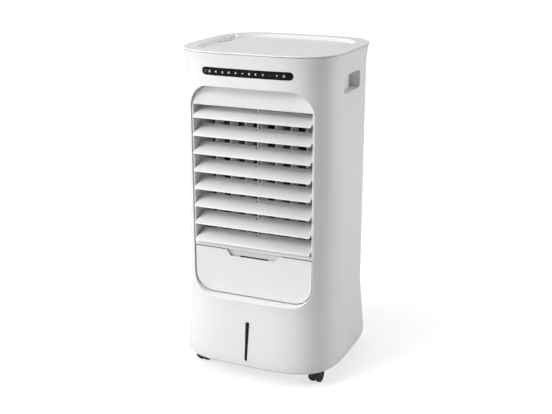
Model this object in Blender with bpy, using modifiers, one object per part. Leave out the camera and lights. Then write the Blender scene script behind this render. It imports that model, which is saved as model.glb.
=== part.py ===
"""Evaporative cooler: a wheeled tower with tilting louvres, swinging vanes, a fill flap and a pull-out tank.

Metres, +Z up. The front faces -Y. The origin is on the floor, under the middle of the body.
Every visible object of the collection "evaporative_cooler" is one physical piece.
"""

import math

import bmesh
import bpy
from mathutils import Matrix, Vector

# ---------------------------------------------------------------- driving dimensions
WAIST_WIDTH = 0.398  # plan of the tower between its flared ends
WAIST_DEPTH = 0.372
PLAN_POWER = 3.75  # the plan is a superellipse: flat-ish sides, large soft corners
PLAN_POINTS = 40
WALL = 0.003
BODY_LIFT = 0.018  # heights are drawn from a datum this far above the floor, and lifted by it at the end
BODY_BOTTOM = 0.026
BASE_BLEND_TOP = 0.185  # below this height the base spreads
BASE_TOP = 0.050  # and is at its widest from here down
BASE_CREASE = 0.15  # the share of that height over which the spread starts softly
BASE_FLARE = 0.010
FRONT_BULGE = 0.006  # how much further the base stands out at the front
BOTTOM_EDGE_RADIUS = 0.008
NECK_Z = 0.748  # the rim flares above this height
RIM_Z = 0.792
RIM_FLARE = 0.0055
COVER_TOP = 0.806

FRONT_PLANE_Y = -0.157  # the flat face that the front inserts share
OPENING_HALF_WIDTH = 0.158
OPENING_BOTTOM = 0.197
OPENING_TOP = 0.7235
OPENING_TOP_RADIUS = 0.058
OPENING_BOTTOM_RADIUS = 0.050
FLANGE = 0.0025
FLANGE_BACK_Y = -0.1460
INSERT_GAP = 0.0015

LOUVRE_COUNT = 8
LOUVRE_PITCH = 0.0445
LOUVRE_TOP_EDGE_Z = 0.6425  # front edge of the highest blade
LOUVRE_FRONT_Y = -0.167
LOUVRE_CHORD = 0.058
LOUVRE_TILT = math.radians(21)
LOUVRE_HALF_LENGTH = 0.152
LOUVRE_PIVOT_AT = 0.020  # along the chord, from the front edge
LOUVRE_LINK_AT = 0.052
LOUVRE_THICKNESS = 0.003

VANE_COUNT = 7
VANE_PITCH = 0.040
VANE_PIVOT_Y = -0.083
VANE_CHORD = 0.044
VANE_BOTTOM = 0.3275
VANE_TOP = 0.6760
VANE_CRANK = 0.015

BLANK_BOTTOM = 0.6735
BAR_TOP = 0.3300
BAR_BOTTOM = 0.3200
FRAME_FLOOR_Z = 0.3225
FRAME_ROOF_Z = 0.6840
FRAME_BACK_Y = -0.056
DOOR_TOP = 0.3175
DOOR_GAP = 0.0026  # the flap's clearance in the opening
DOOR_HINGE_Z = 0.2075
DOOR_HINGE_Y = -0.1555
DOOR_PIN_RADIUS = 0.0012
DOOR_THICKNESS = 0.003
NOTCH_TOP_HALF = 0.074
NOTCH_BOTTOM_HALF = 0.056
NOTCH_DEPTH = 0.0135

STRIP_Z = 0.7598
STRIP_HALF_LENGTH = 0.1145
STRIP_HEIGHT = 0.018
WINDOW_BOTTOM = 0.0445
WINDOW_TOP = 0.1445
WINDOW_TOP_HALF = 0.0047
WINDOW_BOTTOM_HALF = 0.0029

GRIP_Y = -0.014
GRIP_HALF_LENGTH = 0.055
GRIP_BOTTOM = 0.7065
GRIP_TOP = 0.7495
GRIP_DEPTH = 0.024

BACK_PLANE_Y = 0.161
BACK_HALF_WIDTH = 0.150
BACK_BOTTOM = 0.046
BACK_TOP = 0.742
BACK_RADIUS = 0.022
INTAKE_HALF_WIDTH = 0.126
INTAKE_BOTTOM = 0.302
INTAKE_TOP = 0.700

TANK_HALF_WIDTH = 0.136
TANK_FRONT_Y = -0.150
TANK_BOTTOM = 0.0530
TANK_TOP = 0.1680
TANK_WALL = 0.0025

FAN_Z = 0.500
FAN_RADIUS = 0.138
FAN_HUB_RADIUS = 0.036
FAN_Y = -0.014

CASTER_X = 0.157
CASTER_Y = 0.128
CASTER_RADIUS = 0.019
CASTER_TRAIL = 0.011
CASTER_AXLE_Z = CASTER_RADIUS - BODY_LIFT
WHEEL_THICKNESS = 0.011
WHEEL_INNER_X = 0.0029
CHASSIS_Z = 0.0465
CHASSIS_THICKNESS = 0.003

PIN_RADIUS = 0.0025
HOLE_CLEARANCE = 0.0004
SEAT_GAP = 0.0004

# ---------------------------------------------------------------- scene and materials
for old in list(bpy.data.objects):
    bpy.data.objects.remove(old)

parts = bpy.data.collections.new("evaporative_cooler")
bpy.context.scene.collection.children.link(parts)


def material(name, colour, roughness, metallic=0.0):
    made = bpy.data.materials.new(name)
    made.use_nodes = True
    shader = made.node_tree.nodes["Principled BSDF"]
    shader.inputs["Base Color"].default_value = (*colour, 1.0)
    shader.inputs["Roughness"].default_value = roughness
    shader.inputs["Metallic"].default_value = metallic
    return made


WHITE = material("white_shell_plastic", (0.86, 0.86, 0.86), 0.35)
SOFT_WHITE = material("white_insert_plastic", (0.84, 0.84, 0.84), 0.4)
BLACK_GLOSS = material("black_gloss_lens", (0.01, 0.01, 0.012), 0.08)
SMOKED = material("smoked_window", (0.03, 0.03, 0.035), 0.15)
BLACK = material("black_plastic", (0.02, 0.02, 0.02), 0.5)
DARK_GREY = material("dark_grey_plastic", (0.12, 0.12, 0.13), 0.5)
TANK_BLUE = material("translucent_tank_plastic", (0.62, 0.70, 0.76), 0.3)
PAD_BROWN = material("cellulose_pad", (0.36, 0.24, 0.12), 0.9)
FILTER_GREY = material("filter_mesh", (0.25, 0.26, 0.27), 0.8)
STEEL = material("steel", (0.6, 0.6, 0.6), 0.3, 1.0)
BOARD_GREEN = material("circuit_board", (0.03, 0.16, 0.06), 0.5)
HOSE_CLEAR = material("silicone_hose", (0.75, 0.76, 0.74), 0.4)


# ---------------------------------------------------------------- modelling helpers
def keep(obj, name, mat, origin=None):
    """Names a finished piece, puts it in the parts collection and moves its origin, keeping its place."""
    for owner in list(obj.users_collection):
        owner.objects.unlink(obj)
    parts.objects.link(obj)
    obj.name = name
    obj.data.name = name
    obj.data.materials.clear()
    obj.data.materials.append(mat)
    if origin is not None:
        obj.data.transform(Matrix.Translation(-Vector(origin)))
        obj.location = origin
    obj.data.shade_smooth()
    obj.data.set_sharp_from_angle(angle=math.radians(35))
    return obj


def settle(obj):
    """Writes the object's transform and modifiers into its mesh, and returns it at the world origin."""
    bpy.context.view_layer.update()
    evaluated = obj.evaluated_get(bpy.context.evaluated_depsgraph_get())
    mesh = bpy.data.meshes.new_from_object(evaluated)
    mesh.transform(obj.matrix_world)
    if obj.matrix_world.determinant() < 0:
        mesh.flip_normals()
    made = bpy.data.objects.new(obj.name, mesh)
    bpy.context.scene.collection.objects.link(made)
    bpy.data.objects.remove(obj)
    return made


def weld(obj, distance=1e-6):
    shape = bmesh.new()
    shape.from_mesh(obj.data)
    bmesh.ops.remove_doubles(shape, verts=shape.verts, dist=distance)
    bmesh.ops.recalc_face_normals(shape, faces=shape.faces)
    shape.to_mesh(obj.data)
    shape.free()
    return obj


def boolean(target, other, operation):
    modifier = target.modifiers.new(operation, "BOOLEAN")
    modifier.operation = operation
    modifier.solver = "EXACT"
    modifier.object = other
    made = settle(target)
    bpy.data.objects.remove(other)
    return made


def union(first, *others):
    for other in others:
        first = boolean(first, other, "UNION")
    return first


def cut(first, *others):
    for other in others:
        first = boolean(first, other, "DIFFERENCE")
    return first


def box(low, high, bevel=0.0, segments=2):
    """A box between two corners, with rounded edges if bevel is given."""
    low, high = Vector(low), Vector(high)
    bpy.ops.mesh.primitive_cube_add(size=1, location=(low + high) / 2)
    obj = bpy.context.object
    obj.data.transform(Matrix.Diagonal((*(high - low), 1)))
    if bevel:
        rounding = obj.modifiers.new("bevel", "BEVEL")
        rounding.width = bevel
        rounding.segments = segments
    return settle(obj)


AXIS_TURNS = {"X": (0, math.pi / 2, 0), "Y": (math.pi / 2, 0, 0), "Z": (0, 0, 0)}


def cylinder(radius, start, length, axis="Z", sides=20, bevel=0.0):
    """A cylinder from the point start, along +axis."""
    direction = Vector([letter == axis for letter in "XYZ"])
    middle = Vector(start) + direction * length / 2
    bpy.ops.mesh.primitive_cylinder_add(
        radius=radius, depth=length, location=middle, rotation=AXIS_TURNS[axis], vertices=sides
    )
    obj = bpy.context.object
    if bevel:
        rounding = obj.modifiers.new("bevel", "BEVEL")
        rounding.width = bevel
        rounding.segments = 1
        rounding.angle_limit = math.radians(60)
    return settle(obj)


# Each plane: how a flat outline's (u, v) and its thickness lie in the world.
PLANE_TURNS = {"XY": (0, 0, 0), "XZ": (math.pi / 2, 0, 0), "YZ": (math.pi / 2, 0, math.pi / 2)}


def plate(outlines, plane, start, end):
    """A flat plate from closed outlines (the first is its edge, the rest are holes), between two depths."""
    curve = bpy.data.curves.new("outline", "CURVE")
    curve.dimensions = "2D"
    curve.fill_mode = "BOTH"
    curve.extrude = abs(end - start) / 2
    for outline in outlines:
        spline = curve.splines.new("POLY")
        spline.points.add(len(outline) - 1)
        for point, (u, v) in zip(spline.points, outline):
            point.co = (u, v, 0, 1)
        spline.use_cyclic_u = True
    obj = bpy.data.objects.new("plate", curve)
    bpy.context.scene.collection.objects.link(obj)
    obj.rotation_euler = PLANE_TURNS[plane]
    middle = (start + end) / 2
    obj.location = {"XY": (0, 0, middle), "XZ": (0, middle, 0), "YZ": (middle, 0, 0)}[plane]
    return weld(settle(obj))


def loft(sections, capped=True):
    """A surface through rings of equally many points."""
    shape = bmesh.new()
    rings = [[shape.verts.new(point) for point in section] for section in sections]
    for lower, upper in zip(rings, rings[1:]):
        for i in range(len(lower)):
            j = (i + 1) % len(lower)
            shape.faces.new((lower[i], lower[j], upper[j], upper[i]))
    if capped:
        shape.faces.new(rings[0])
        shape.faces.new(rings[-1])
    bmesh.ops.recalc_face_normals(shape, faces=shape.faces)
    mesh = bpy.data.meshes.new("loft")
    shape.to_mesh(mesh)
    shape.free()
    obj = bpy.data.objects.new("loft", mesh)
    bpy.context.scene.collection.objects.link(obj)
    return obj


def tube(points, radius, sides_step=1, cyclic=False):
    """A round wire or hose along points."""
    curve = bpy.data.curves.new("tube", "CURVE")
    curve.dimensions = "3D"
    curve.bevel_depth = radius
    curve.bevel_resolution = sides_step
    curve.use_fill_caps = not cyclic
    spline = curve.splines.new("POLY")
    spline.points.add(len(points) - 1)
    for target, point in zip(spline.points, points):
        target.co = (*point, 1)
    spline.use_cyclic_u = cyclic
    obj = bpy.data.objects.new("tube", curve)
    bpy.context.scene.collection.objects.link(obj)
    return weld(settle(obj))


# ---------------------------------------------------------------- outlines
def plan(grow=0.0, bulge=0.0, count=PLAN_POINTS):
    """The tower's plan, offset outward by grow, with its front half pushed out by bulge."""
    a = WAIST_WIDTH / 2 + grow
    points = []
    for i in range(count):
        angle = 2 * math.pi * i / count
        c, s = math.cos(angle), math.sin(angle)
        b = WAIST_DEPTH / 2 + grow + (bulge if s < 0 else 0.0)
        x = math.copysign(a * abs(c) ** (2 / PLAN_POWER), c)
        y = math.copysign(b * abs(s) ** (2 / PLAN_POWER), s)
        points.append((x, y))
    return points


def base_share(z):
    """0 in the waist, 1 where the base is widest, and a straight slope between with a soft start."""
    t = max(0.0, min(1.0, (BASE_BLEND_TOP - z) / (BASE_BLEND_TOP - BASE_TOP)))
    rise = t * t / (2 * BASE_CREASE) if t < BASE_CREASE else t - BASE_CREASE / 2
    return rise / (1 - BASE_CREASE / 2)


def flare(z):
    """How far the tower stands out from its waist at height z, at the sides and the back."""
    rise = max(0.0, (z - NECK_Z) / (RIM_Z - NECK_Z))
    up = max(0.0, BODY_BOTTOM + BOTTOM_EDGE_RADIUS - z)
    edge = BOTTOM_EDGE_RADIUS - math.sqrt(max(0.0, BOTTOM_EDGE_RADIUS**2 - up**2))
    return BASE_FLARE * base_share(z) + RIM_FLARE * rise**2 - edge


def ring(z, grow=0.0, at=None):
    """The body's outline at height z, offset by grow; at is the height whose form it takes."""
    form = min(max(z if at is None else at, BODY_BOTTOM), RIM_Z)
    return [(x, y, z) for x, y in plan(flare(form) + grow, FRONT_BULGE * base_share(form))]


BODY_HEIGHTS = (0.026, 0.029, 0.034, 0.050, 0.16475, 0.171, 0.178, 0.185, 0.748, 0.774, 0.792)


def body_sections(grow=0.0):
    return [ring(z, grow) for z in BODY_HEIGHTS]


def rounded_outline(half_width, bottom, top, bottom_radius, top_radius, steps=6):
    """A rounded rectangle, centred on u = 0."""
    corners = (
        (half_width - bottom_radius, bottom + bottom_radius, bottom_radius, -90),
        (half_width - top_radius, top - top_radius, top_radius, 0),
        (-half_width + top_radius, top - top_radius, top_radius, 90),
        (-half_width + bottom_radius, bottom + bottom_radius, bottom_radius, 180),
    )
    points = []
    for u, v, radius, start in corners:
        for i in range(steps + 1):
            angle = math.radians(start + 90 * i / steps)
            points.append((u + radius * math.cos(angle), v + radius * math.sin(angle)))
    return points


def rectangle(u0, v0, u1, v1):
    return [(u0, v0), (u1, v0), (u1, v1), (u0, v1)]


def circle(u, v, radius, sides=16):
    turns = [2 * math.pi * i / sides for i in range(sides)]
    return [(u + radius * math.cos(t), v + radius * math.sin(t)) for t in turns]


def opening_outline(grow=0.0, bottom=OPENING_BOTTOM, top=OPENING_TOP):
    """The outline of the front opening, offset outward by grow."""
    return rounded_outline(
        OPENING_HALF_WIDTH + grow,
        bottom - grow,
        top + grow,
        OPENING_BOTTOM_RADIUS + grow,
        OPENING_TOP_RADIUS + grow,
        8,
    )


def strip_outline(grow=0.0):
    radius = STRIP_HEIGHT / 2 + grow
    return rounded_outline(
        STRIP_HALF_LENGTH + grow, STRIP_Z - radius, STRIP_Z + radius, radius * 0.999, radius * 0.999, 5
    )


def window_outline(grow=0.0):
    """A slot that narrows downward, with rounded ends."""
    points = []
    for z, radius, start in (
        (WINDOW_TOP - WINDOW_TOP_HALF, WINDOW_TOP_HALF + grow, 0),
        (WINDOW_BOTTOM + WINDOW_BOTTOM_HALF, WINDOW_BOTTOM_HALF + grow, 180),
    ):
        for i in range(6):
            angle = math.radians(start + 180 * i / 5)
            points.append((radius * math.cos(angle), z + radius * math.sin(angle)))
    return points


def body_solid():
    return loft(body_sections())


def skin_panel(outline, heights, outer, inner):
    """A panel that follows the body's front: what lies inside outline, between two offsets of the body."""
    outside = loft([ring(z, outer) for z in heights])
    low, high = heights[0], heights[-1]
    below, above = ring(low - 0.01, inner, low), ring(high + 0.01, inner, high)
    inside = loft([below] + [ring(z, inner) for z in heights] + [above])
    return boolean(cut(outside, inside), plate([outline], "XZ", -0.3, -0.05), "INTERSECT")


# ---------------------------------------------------------------- housing
def back_outline(grow=0.0):
    half, radius = BACK_HALF_WIDTH + grow, BACK_RADIUS + grow
    return rounded_outline(half, BACK_BOTTOM - grow, BACK_TOP + grow, radius, radius, 4)


REAR_SCREWS = [(x, z) for x in (-0.136, 0.136) for z in (0.190, 0.728)]
REAR_BOSS_RADIUS = 0.0065
SCREW_RADIUS = 0.0018


def grip_box(side, grow):
    """The hand hold's pocket on one side, its roof undercut so that fingers hook behind it."""
    floor_x = WAIST_WIDTH / 2 - GRIP_DEPTH - grow
    low = (side * floor_x, GRIP_Y - GRIP_HALF_LENGTH - grow, GRIP_BOTTOM - grow)
    high = (side * 0.26, GRIP_Y + GRIP_HALF_LENGTH + grow, GRIP_TOP + grow)
    ordered_low = [min(a, b) for a, b in zip(low, high)]
    ordered_high = [max(a, b) for a, b in zip(low, high)]
    return box(ordered_low, ordered_high, bevel=0.006, segments=2)


def make_housing():
    skin = loft(body_sections(), capped=False)
    thickness = skin.modifiers.new("wall", "SOLIDIFY")
    thickness.thickness = WALL
    thickness.offset = -1
    thickness.use_even_offset = True
    shell = settle(skin)
    front = boolean(
        plate([opening_outline(FLANGE)], "XZ", -0.3, FLANGE_BACK_Y), body_solid(), "INTERSECT"
    )
    back = boolean(plate([back_outline(FLANGE)], "XZ", 0.140, 0.3), body_solid(), "INTERSECT")
    shell = union(shell, front, back)
    shell = cut(
        shell,
        plate([opening_outline()], "XZ", -0.35, -0.10),
        plate([back_outline()], "XZ", 0.12, 0.35),
        plate([strip_outline(0.0006)], "XZ", -0.3, -0.1),
        plate([window_outline(0.0005)], "XZ", -0.3, -0.1),
    )
    for side in (-1, 1):
        pocket = boolean(grip_box(side, 0.0022), body_solid(), "INTERSECT")
        shell = cut(union(shell, pocket), grip_box(side, 0.0))
    hinge_bore = cylinder(DOOR_PIN_RADIUS + HOLE_CLEARANCE, (-0.2, DOOR_HINGE_Y, DOOR_HINGE_Z), 0.4, "X", 10)
    shell = cut(shell, hinge_bore)
    for x, z in REAR_SCREWS:
        side = math.copysign(1, x)
        web = box(
            (min(x, side * 0.1515), 0.142, z - 0.004), (max(x, side * 0.1515), 0.1572, z + 0.004)
        )
        boss = cylinder(REAR_BOSS_RADIUS, (x, 0.142, z), 0.0152, "Y", 12)
        shell = union(shell, union(boss, web))
        shell = cut(shell, cylinder(SCREW_RADIUS + 0.0003, (x, 0.1455, z), 0.02, "Y", 10))
    return keep(shell, "housing", WHITE)


SCOOP_CENTRE = (-0.166, 0.062, 0.8060)
SCOOP_RADII = (0.0125, 0.052, 0.018)
DISH_FLOOR_Z = 0.7985
LEDGE_Z = 0.7950
LID_TOP = 0.7983


def scoop_form(grow):
    """The long finger scoop beside the lid's free edge, as a solid offset by grow."""
    bpy.ops.mesh.primitive_uv_sphere_add(segments=16, ring_count=8, radius=1, location=SCOOP_CENTRE)
    obj = bpy.context.object
    obj.data.transform(Matrix.Diagonal((*[radius + grow for radius in SCOOP_RADII], 1)))
    return settle(obj)


def flat_ring(z, grow):
    return [(x, y, z) for x, y in plan(grow)]


def make_top_cover():
    """The top moulding: a soft rim, a dish with a sloped wall, a ledge for the lid and the finger scoop."""
    rim = RIM_FLARE
    levels = (
        (RIM_Z + 0.0012, rim),
        (0.7985, rim + 0.0005),
        (0.8025, rim - 0.0008),
        (0.8048, rim - 0.0032),
        (COVER_TOP, rim - 0.0075),
    )
    cover = loft([flat_ring(z, out) for z, out in levels])
    cover = union(cover, loft([flat_ring(z, -WALL - 0.0006) for z in (0.784, 0.795)]))
    dish = loft([flat_ring(DISH_FLOOR_Z, -0.0340), flat_ring(0.8085, -0.0225)])
    recess = loft([flat_ring(LEDGE_Z, -0.0345), flat_ring(0.8010, -0.0345)])
    well = loft([flat_ring(0.77, -0.046), flat_ring(0.81, -0.046)])
    under = loft([flat_ring(0.77, -WALL - 0.0026), flat_ring(0.7936, -WALL - 0.0026)])
    cover = cut(cover, dish, recess, under, well)
    below_rim = loft([flat_ring(0.78, -0.01), flat_ring(0.8008, -0.01)])
    pocket = boolean(scoop_form(0.0015), below_rim, "INTERSECT")
    return keep(cut(union(cover, pocket), scoop_form(0.0)), "top_cover", WHITE)


def make_top_lid():
    """The lid; it lifts from the scoop and turns about its edge on the other side."""
    lid = loft([flat_ring(0.7954, -0.0355), flat_ring(LID_TOP, -0.0352)])
    lid = union(lid, loft([flat_ring(0.7936, -0.0530), flat_ring(0.7960, -0.0530)]))
    lid = cut(lid, loft([flat_ring(0.789, -0.0550), flat_ring(0.7954, -0.0550)]), scoop_form(0.0022))
    hinge_x = WAIST_WIDTH / 2 - 0.0352
    return keep(lid, "top_lid", WHITE, (hinge_x, 0, LID_TOP))


def make_ice_tray():
    """The tray for ice packs; its lip hangs under the ledge of the cover."""
    outer = box((-0.105, -0.085, 0.7400), (0.105, 0.085, 0.7925))
    inner = box((-0.103, -0.083, 0.7420), (0.103, 0.083, 0.80))
    lip = loft([flat_ring(0.7912, -0.0400), flat_ring(0.7932, -0.0400)])
    drain = cylinder(0.004, (0, 0.06, 0.73), 0.03, "Z", 12)
    tray = cut(union(outer, lip), inner, drain, scoop_form(0.0022))
    return keep(tray, "ice_tray", SOFT_WHITE)


# ---------------------------------------------------------------- controls and window
def make_display_lens():
    lens = skin_panel(strip_outline(), (0.7485, 0.7600, 0.7712), 0.0006, -0.0024)
    return keep(lens, "display_lens", BLACK_GLOSS)


def make_control_board():
    board = box((-0.105, -0.1715, 0.7515), (0.105, -0.1699, 0.7685))
    chip = box((-0.014, -0.1702, 0.755), (0.006, -0.1672, 0.764))
    plug = box((0.060, -0.1702, 0.754), (0.074, -0.1642, 0.763))
    return keep(union(board, chip, plug), "control_board", BOARD_GREEN)


def make_level_window():
    lens = skin_panel(window_outline(), (0.0420, 0.0500, 0.1480), 0.0, -0.0034)
    return keep(lens, "level_window", SMOKED)


# ---------------------------------------------------------------- front grille
def louvre_point(along, above=0.0, drop=0.0):
    """A point of the highest blade's section, along the chord from the front edge, as (y, z)."""
    c, s = math.cos(LOUVRE_TILT), math.sin(LOUVRE_TILT)
    return LOUVRE_FRONT_Y + along * c - above * s, LOUVRE_TOP_EDGE_Z - drop + along * s + above * c


def louvre_pivot(index):
    """The pivot of blade index (0 is the highest), as (y, z)."""
    return louvre_point(LOUVRE_PIVOT_AT, drop=index * LOUVRE_PITCH)


def vane_x(index):
    return (index - (VANE_COUNT - 1) / 2) * VANE_PITCH


def make_grille_frame():
    """The insert: a blank head, cheeks that carry the blades, a sill bar, a roof and a floor for the vanes."""
    half = OPENING_HALF_WIDTH - INSERT_GAP
    cheek_inner = 0.1537
    head_outline = opening_outline(-INSERT_GAP, bottom=0.30)
    head = boolean(
        plate([head_outline], "XZ", FRONT_PLANE_Y, FRONT_PLANE_Y + 0.003),
        box((-0.2, -0.2, BLANK_BOTTOM), (0.2, -0.1, 0.75)),
        "INTERSECT",
    )
    frame = head
    for side in (-1, 1):
        x0, x1 = sorted((side * cheek_inner, side * half))
        cheek = box((x0, FRONT_PLANE_Y, FRAME_FLOOR_Z), (x1, FRAME_BACK_Y, FRAME_ROOF_Z + 0.002))
        for index in range(LOUVRE_COUNT):
            y, z = louvre_pivot(index)
            hole = cylinder(PIN_RADIUS + HOLE_CLEARANCE, (min(x0, x1) - 0.01, y, z), 0.03, "X", 8)
            cheek = cut(cheek, hole)
        frame = union(frame, cheek)
    roof = box((-half, FRONT_PLANE_Y + 0.001, FRAME_ROOF_Z), (half, FRAME_BACK_Y, FRAME_ROOF_Z + 0.002))
    floor = box((-half, FRONT_PLANE_Y, FRAME_FLOOR_Z), (half, FRAME_BACK_Y, FRAME_FLOOR_Z + 0.002))
    bar = box((-half, FRONT_PLANE_Y, BAR_BOTTOM), (half, FRONT_PLANE_Y + 0.003, BAR_TOP))
    for index in range(VANE_COUNT):
        hole = (vane_x(index), VANE_PIVOT_Y)
        roof = cut(roof, cylinder(PIN_RADIUS + HOLE_CLEARANCE, (*hole, FRAME_ROOF_Z - 0.01), 0.03, "Z", 8))
        floor = cut(floor, cylinder(PIN_RADIUS + HOLE_CLEARANCE, (*hole, FRAME_FLOOR_Z - 0.01), 0.03, "Z", 8))
    scoop_line = [
        (FRONT_PLANE_Y + 0.0004, 0.3240), (FRONT_PLANE_Y + 0.0004, 0.3201), (-0.1532, 0.3177),
        (-0.1470, 0.3025), (-0.1450, 0.3025), (-0.1510, 0.3180), (-0.1510, 0.3240),
    ]
    scoop = plate([scoop_line], "YZ", -NOTCH_TOP_HALF - 0.004, NOTCH_TOP_HALF + 0.004)
    frame = union(frame, roof, floor, bar, scoop)
    frame = boolean(frame, plate([opening_outline(-INSERT_GAP)], "XZ", -0.2, -0.02), "INTERSECT")
    return keep(frame, "grille_frame", SOFT_WHITE)


def louvre_section():
    """The blade's section: a round nose that thins towards the back, slightly crowned."""
    half = LOUVRE_THICKNESS / 2
    stations = ((0.0005, 0.62), (0.0018, 1.0), (0.020, 1.0), (0.040, 0.85), (LOUVRE_CHORD, 0.6))

    def crown(along):
        return 0.0016 * math.sin(math.pi * along / LOUVRE_CHORD)

    upper = [louvre_point(along, crown(along) + half * share) for along, share in stations]
    lower = [louvre_point(along, crown(along) - half * share) for along, share in reversed(stations)]
    return [louvre_point(0.0)] + upper + lower


def make_louvre(index):
    """One blade, with a pin at each end and, in a slot behind, the crank pin for the link."""
    blade = plate([louvre_section()], "YZ", -LOUVRE_HALF_LENGTH, LOUVRE_HALF_LENGTH)
    slot = [louvre_point(*corner) for corner in rectangle(0.042, -0.01, 0.07, 0.01)]
    blade = cut(blade, plate([slot], "YZ", -0.0045, 0.0045))
    crank = cylinder(0.0014, (-0.0068, *louvre_point(LOUVRE_LINK_AT)), 0.0136, "X", 10)
    y, z = louvre_pivot(0)
    left = cylinder(PIN_RADIUS, (-LOUVRE_HALF_LENGTH - 0.0042, y, z), 0.0082, "X", 10)
    right = cylinder(PIN_RADIUS, (LOUVRE_HALF_LENGTH - 0.0040, y, z), 0.0082, "X", 10)
    blade = union(blade, crank, left, right)
    drop = index * LOUVRE_PITCH
    blade.data.transform(Matrix.Translation((0, 0, -drop)))
    return keep(blade, f"louvre_{index + 1}", SOFT_WHITE, (0, y, z - drop))


def make_louvre_link():
    y, z = louvre_point(LOUVRE_LINK_AT)
    low_z = z - (LOUVRE_COUNT - 1) * LOUVRE_PITCH
    outline = rectangle(y - 0.0032, low_z - 0.0045, y + 0.0032, z + 0.0045)
    holes = [circle(y, z - i * LOUVRE_PITCH, 0.0018, 8) for i in range(LOUVRE_COUNT)]
    bar = plate([outline, *holes], "YZ", -0.0013, 0.0013)
    return keep(bar, "louvre_link", SOFT_WHITE, (0, y, z))


# ---------------------------------------------------------------- swinging vanes
def make_vane(index):
    x = vane_x(index)
    front = VANE_PIVOT_Y - VANE_CHORD / 2
    blade = box((x - 0.001, front, VANE_BOTTOM), (x + 0.001, front + VANE_CHORD, VANE_TOP))
    low_pin = cylinder(PIN_RADIUS, (x, VANE_PIVOT_Y, FRAME_FLOOR_Z - 0.0005), 0.011, "Z", 10)
    high_end = FRAME_ROOF_Z + (0.0085 if index == VANE_COUNT // 2 else 0.0025)
    high_start = VANE_TOP - 0.004
    high_pin = cylinder(PIN_RADIUS, (x, VANE_PIVOT_Y, high_start), high_end - high_start, "Z", 10)
    crank = cylinder(0.0014, (x, VANE_PIVOT_Y + VANE_CRANK, VANE_TOP - 0.003), 0.0068, "Z", 8)
    vane = union(blade, low_pin, high_pin, crank)
    return keep(vane, f"vane_{index + 1}", SOFT_WHITE, (x, VANE_PIVOT_Y, VANE_TOP))


def make_vane_link():
    y = VANE_PIVOT_Y + VANE_CRANK
    half = vane_x(VANE_COUNT - 1) + 0.005
    holes = [circle(vane_x(i), y, 0.0018, 8) for i in range(VANE_COUNT)]
    outline = rectangle(-half, y - 0.0035, half, y + 0.0035)
    bar = plate([outline, *holes], "XY", VANE_TOP + 0.0006, VANE_TOP + 0.0030)
    return keep(bar, "vane_link", SOFT_WHITE, (0, y, VANE_TOP))


def make_swing_motor():
    base_z = FRAME_ROOF_Z + 0.0024
    can = cylinder(0.014, (0, VANE_PIVOT_Y, base_z), 0.018, "Z", 20)
    ears = box((-0.0215, VANE_PIVOT_Y - 0.004, base_z), (0.0215, VANE_PIVOT_Y + 0.004, base_z + 0.0015))
    socket = cylinder(PIN_RADIUS + HOLE_CLEARANCE, (0, VANE_PIVOT_Y, base_z - 0.01), 0.018, "Z", 16)
    return keep(cut(union(can, ears), socket), "swing_motor", STEEL)


# ---------------------------------------------------------------- fill flap
def make_fill_door():
    """The lower flap, with a finger notch in its top edge and a hinge pin at each end of its foot."""
    outline_full = opening_outline(-DOOR_GAP, bottom=OPENING_BOTTOM, top=0.60)
    door = plate([outline_full], "XZ", FRONT_PLANE_Y, FRONT_PLANE_Y + DOOR_THICKNESS)
    door = cut(door, box((-0.2, -0.2, DOOR_TOP), (0.2, -0.1, 0.7)))
    notch = [
        (-NOTCH_TOP_HALF, DOOR_TOP + 0.01),
        (-NOTCH_TOP_HALF, DOOR_TOP),
        (-NOTCH_TOP_HALF + 0.004, DOOR_TOP - 0.0010),
        (-NOTCH_BOTTOM_HALF - 0.004, DOOR_TOP - NOTCH_DEPTH + 0.0015),
        (-NOTCH_BOTTOM_HALF, DOOR_TOP - NOTCH_DEPTH),
    ]
    notch += [(-x, z) for x, z in reversed(notch)]
    door = cut(door, plate([notch], "XZ", -0.2, -0.1))
    pins = cylinder(DOOR_PIN_RADIUS, (-0.1440, DOOR_HINGE_Y, DOOR_HINGE_Z), 0.2880, "X", 10)
    gap = box((-0.1300, -0.17, 0.200), (0.1300, -0.14, 0.215))
    return keep(union(door, cut(pins, gap)), "fill_door", SOFT_WHITE, (0, DOOR_HINGE_Y, DOOR_HINGE_Z))


def make_fill_chute():
    """The hopper behind the flap: a sloped floor that drops into the tank, a back and two cheeks."""
    floor_line = [
        (-0.1440, 0.2005), (-0.1420, 0.2005), (-0.1180, 0.1730),
        (-0.1180, 0.1705), (-0.1200, 0.1705), (-0.1200, 0.1722),
    ]
    back_line = [(-0.0980, 0.1705), (-0.0960, 0.1705), (-0.0960, 0.3110), (-0.0980, 0.3110)]
    cheek_line = [
        (-0.1520, 0.2175), (-0.1450, 0.2050), (-0.1446, 0.1998), (-0.1206, 0.1714), (-0.1206, 0.1698),
        (-0.0954, 0.1698), (-0.0954, 0.3218), (-0.1400, 0.3218), (-0.1400, 0.2950), (-0.1520, 0.2700),
    ]
    chute = plate([floor_line], "YZ", -0.1142, 0.1142)
    chute = union(chute, plate([back_line], "YZ", -0.1142, 0.1142))
    for x in (-0.1150, 0.1130):
        chute = union(chute, plate([cheek_line], "YZ", x, x + 0.002))
    return keep(chute, "fill_chute", SOFT_WHITE)


# ---------------------------------------------------------------- fan
SHROUD_FRONT_Y = -0.0540
SHROUD_BACK_Y = 0.0200
MOTOR_FRONT_Y = 0.0230
MOTOR_LENGTH = 0.050
MOTOR_RADIUS = 0.040
SHAFT_RADIUS = 0.004


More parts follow.
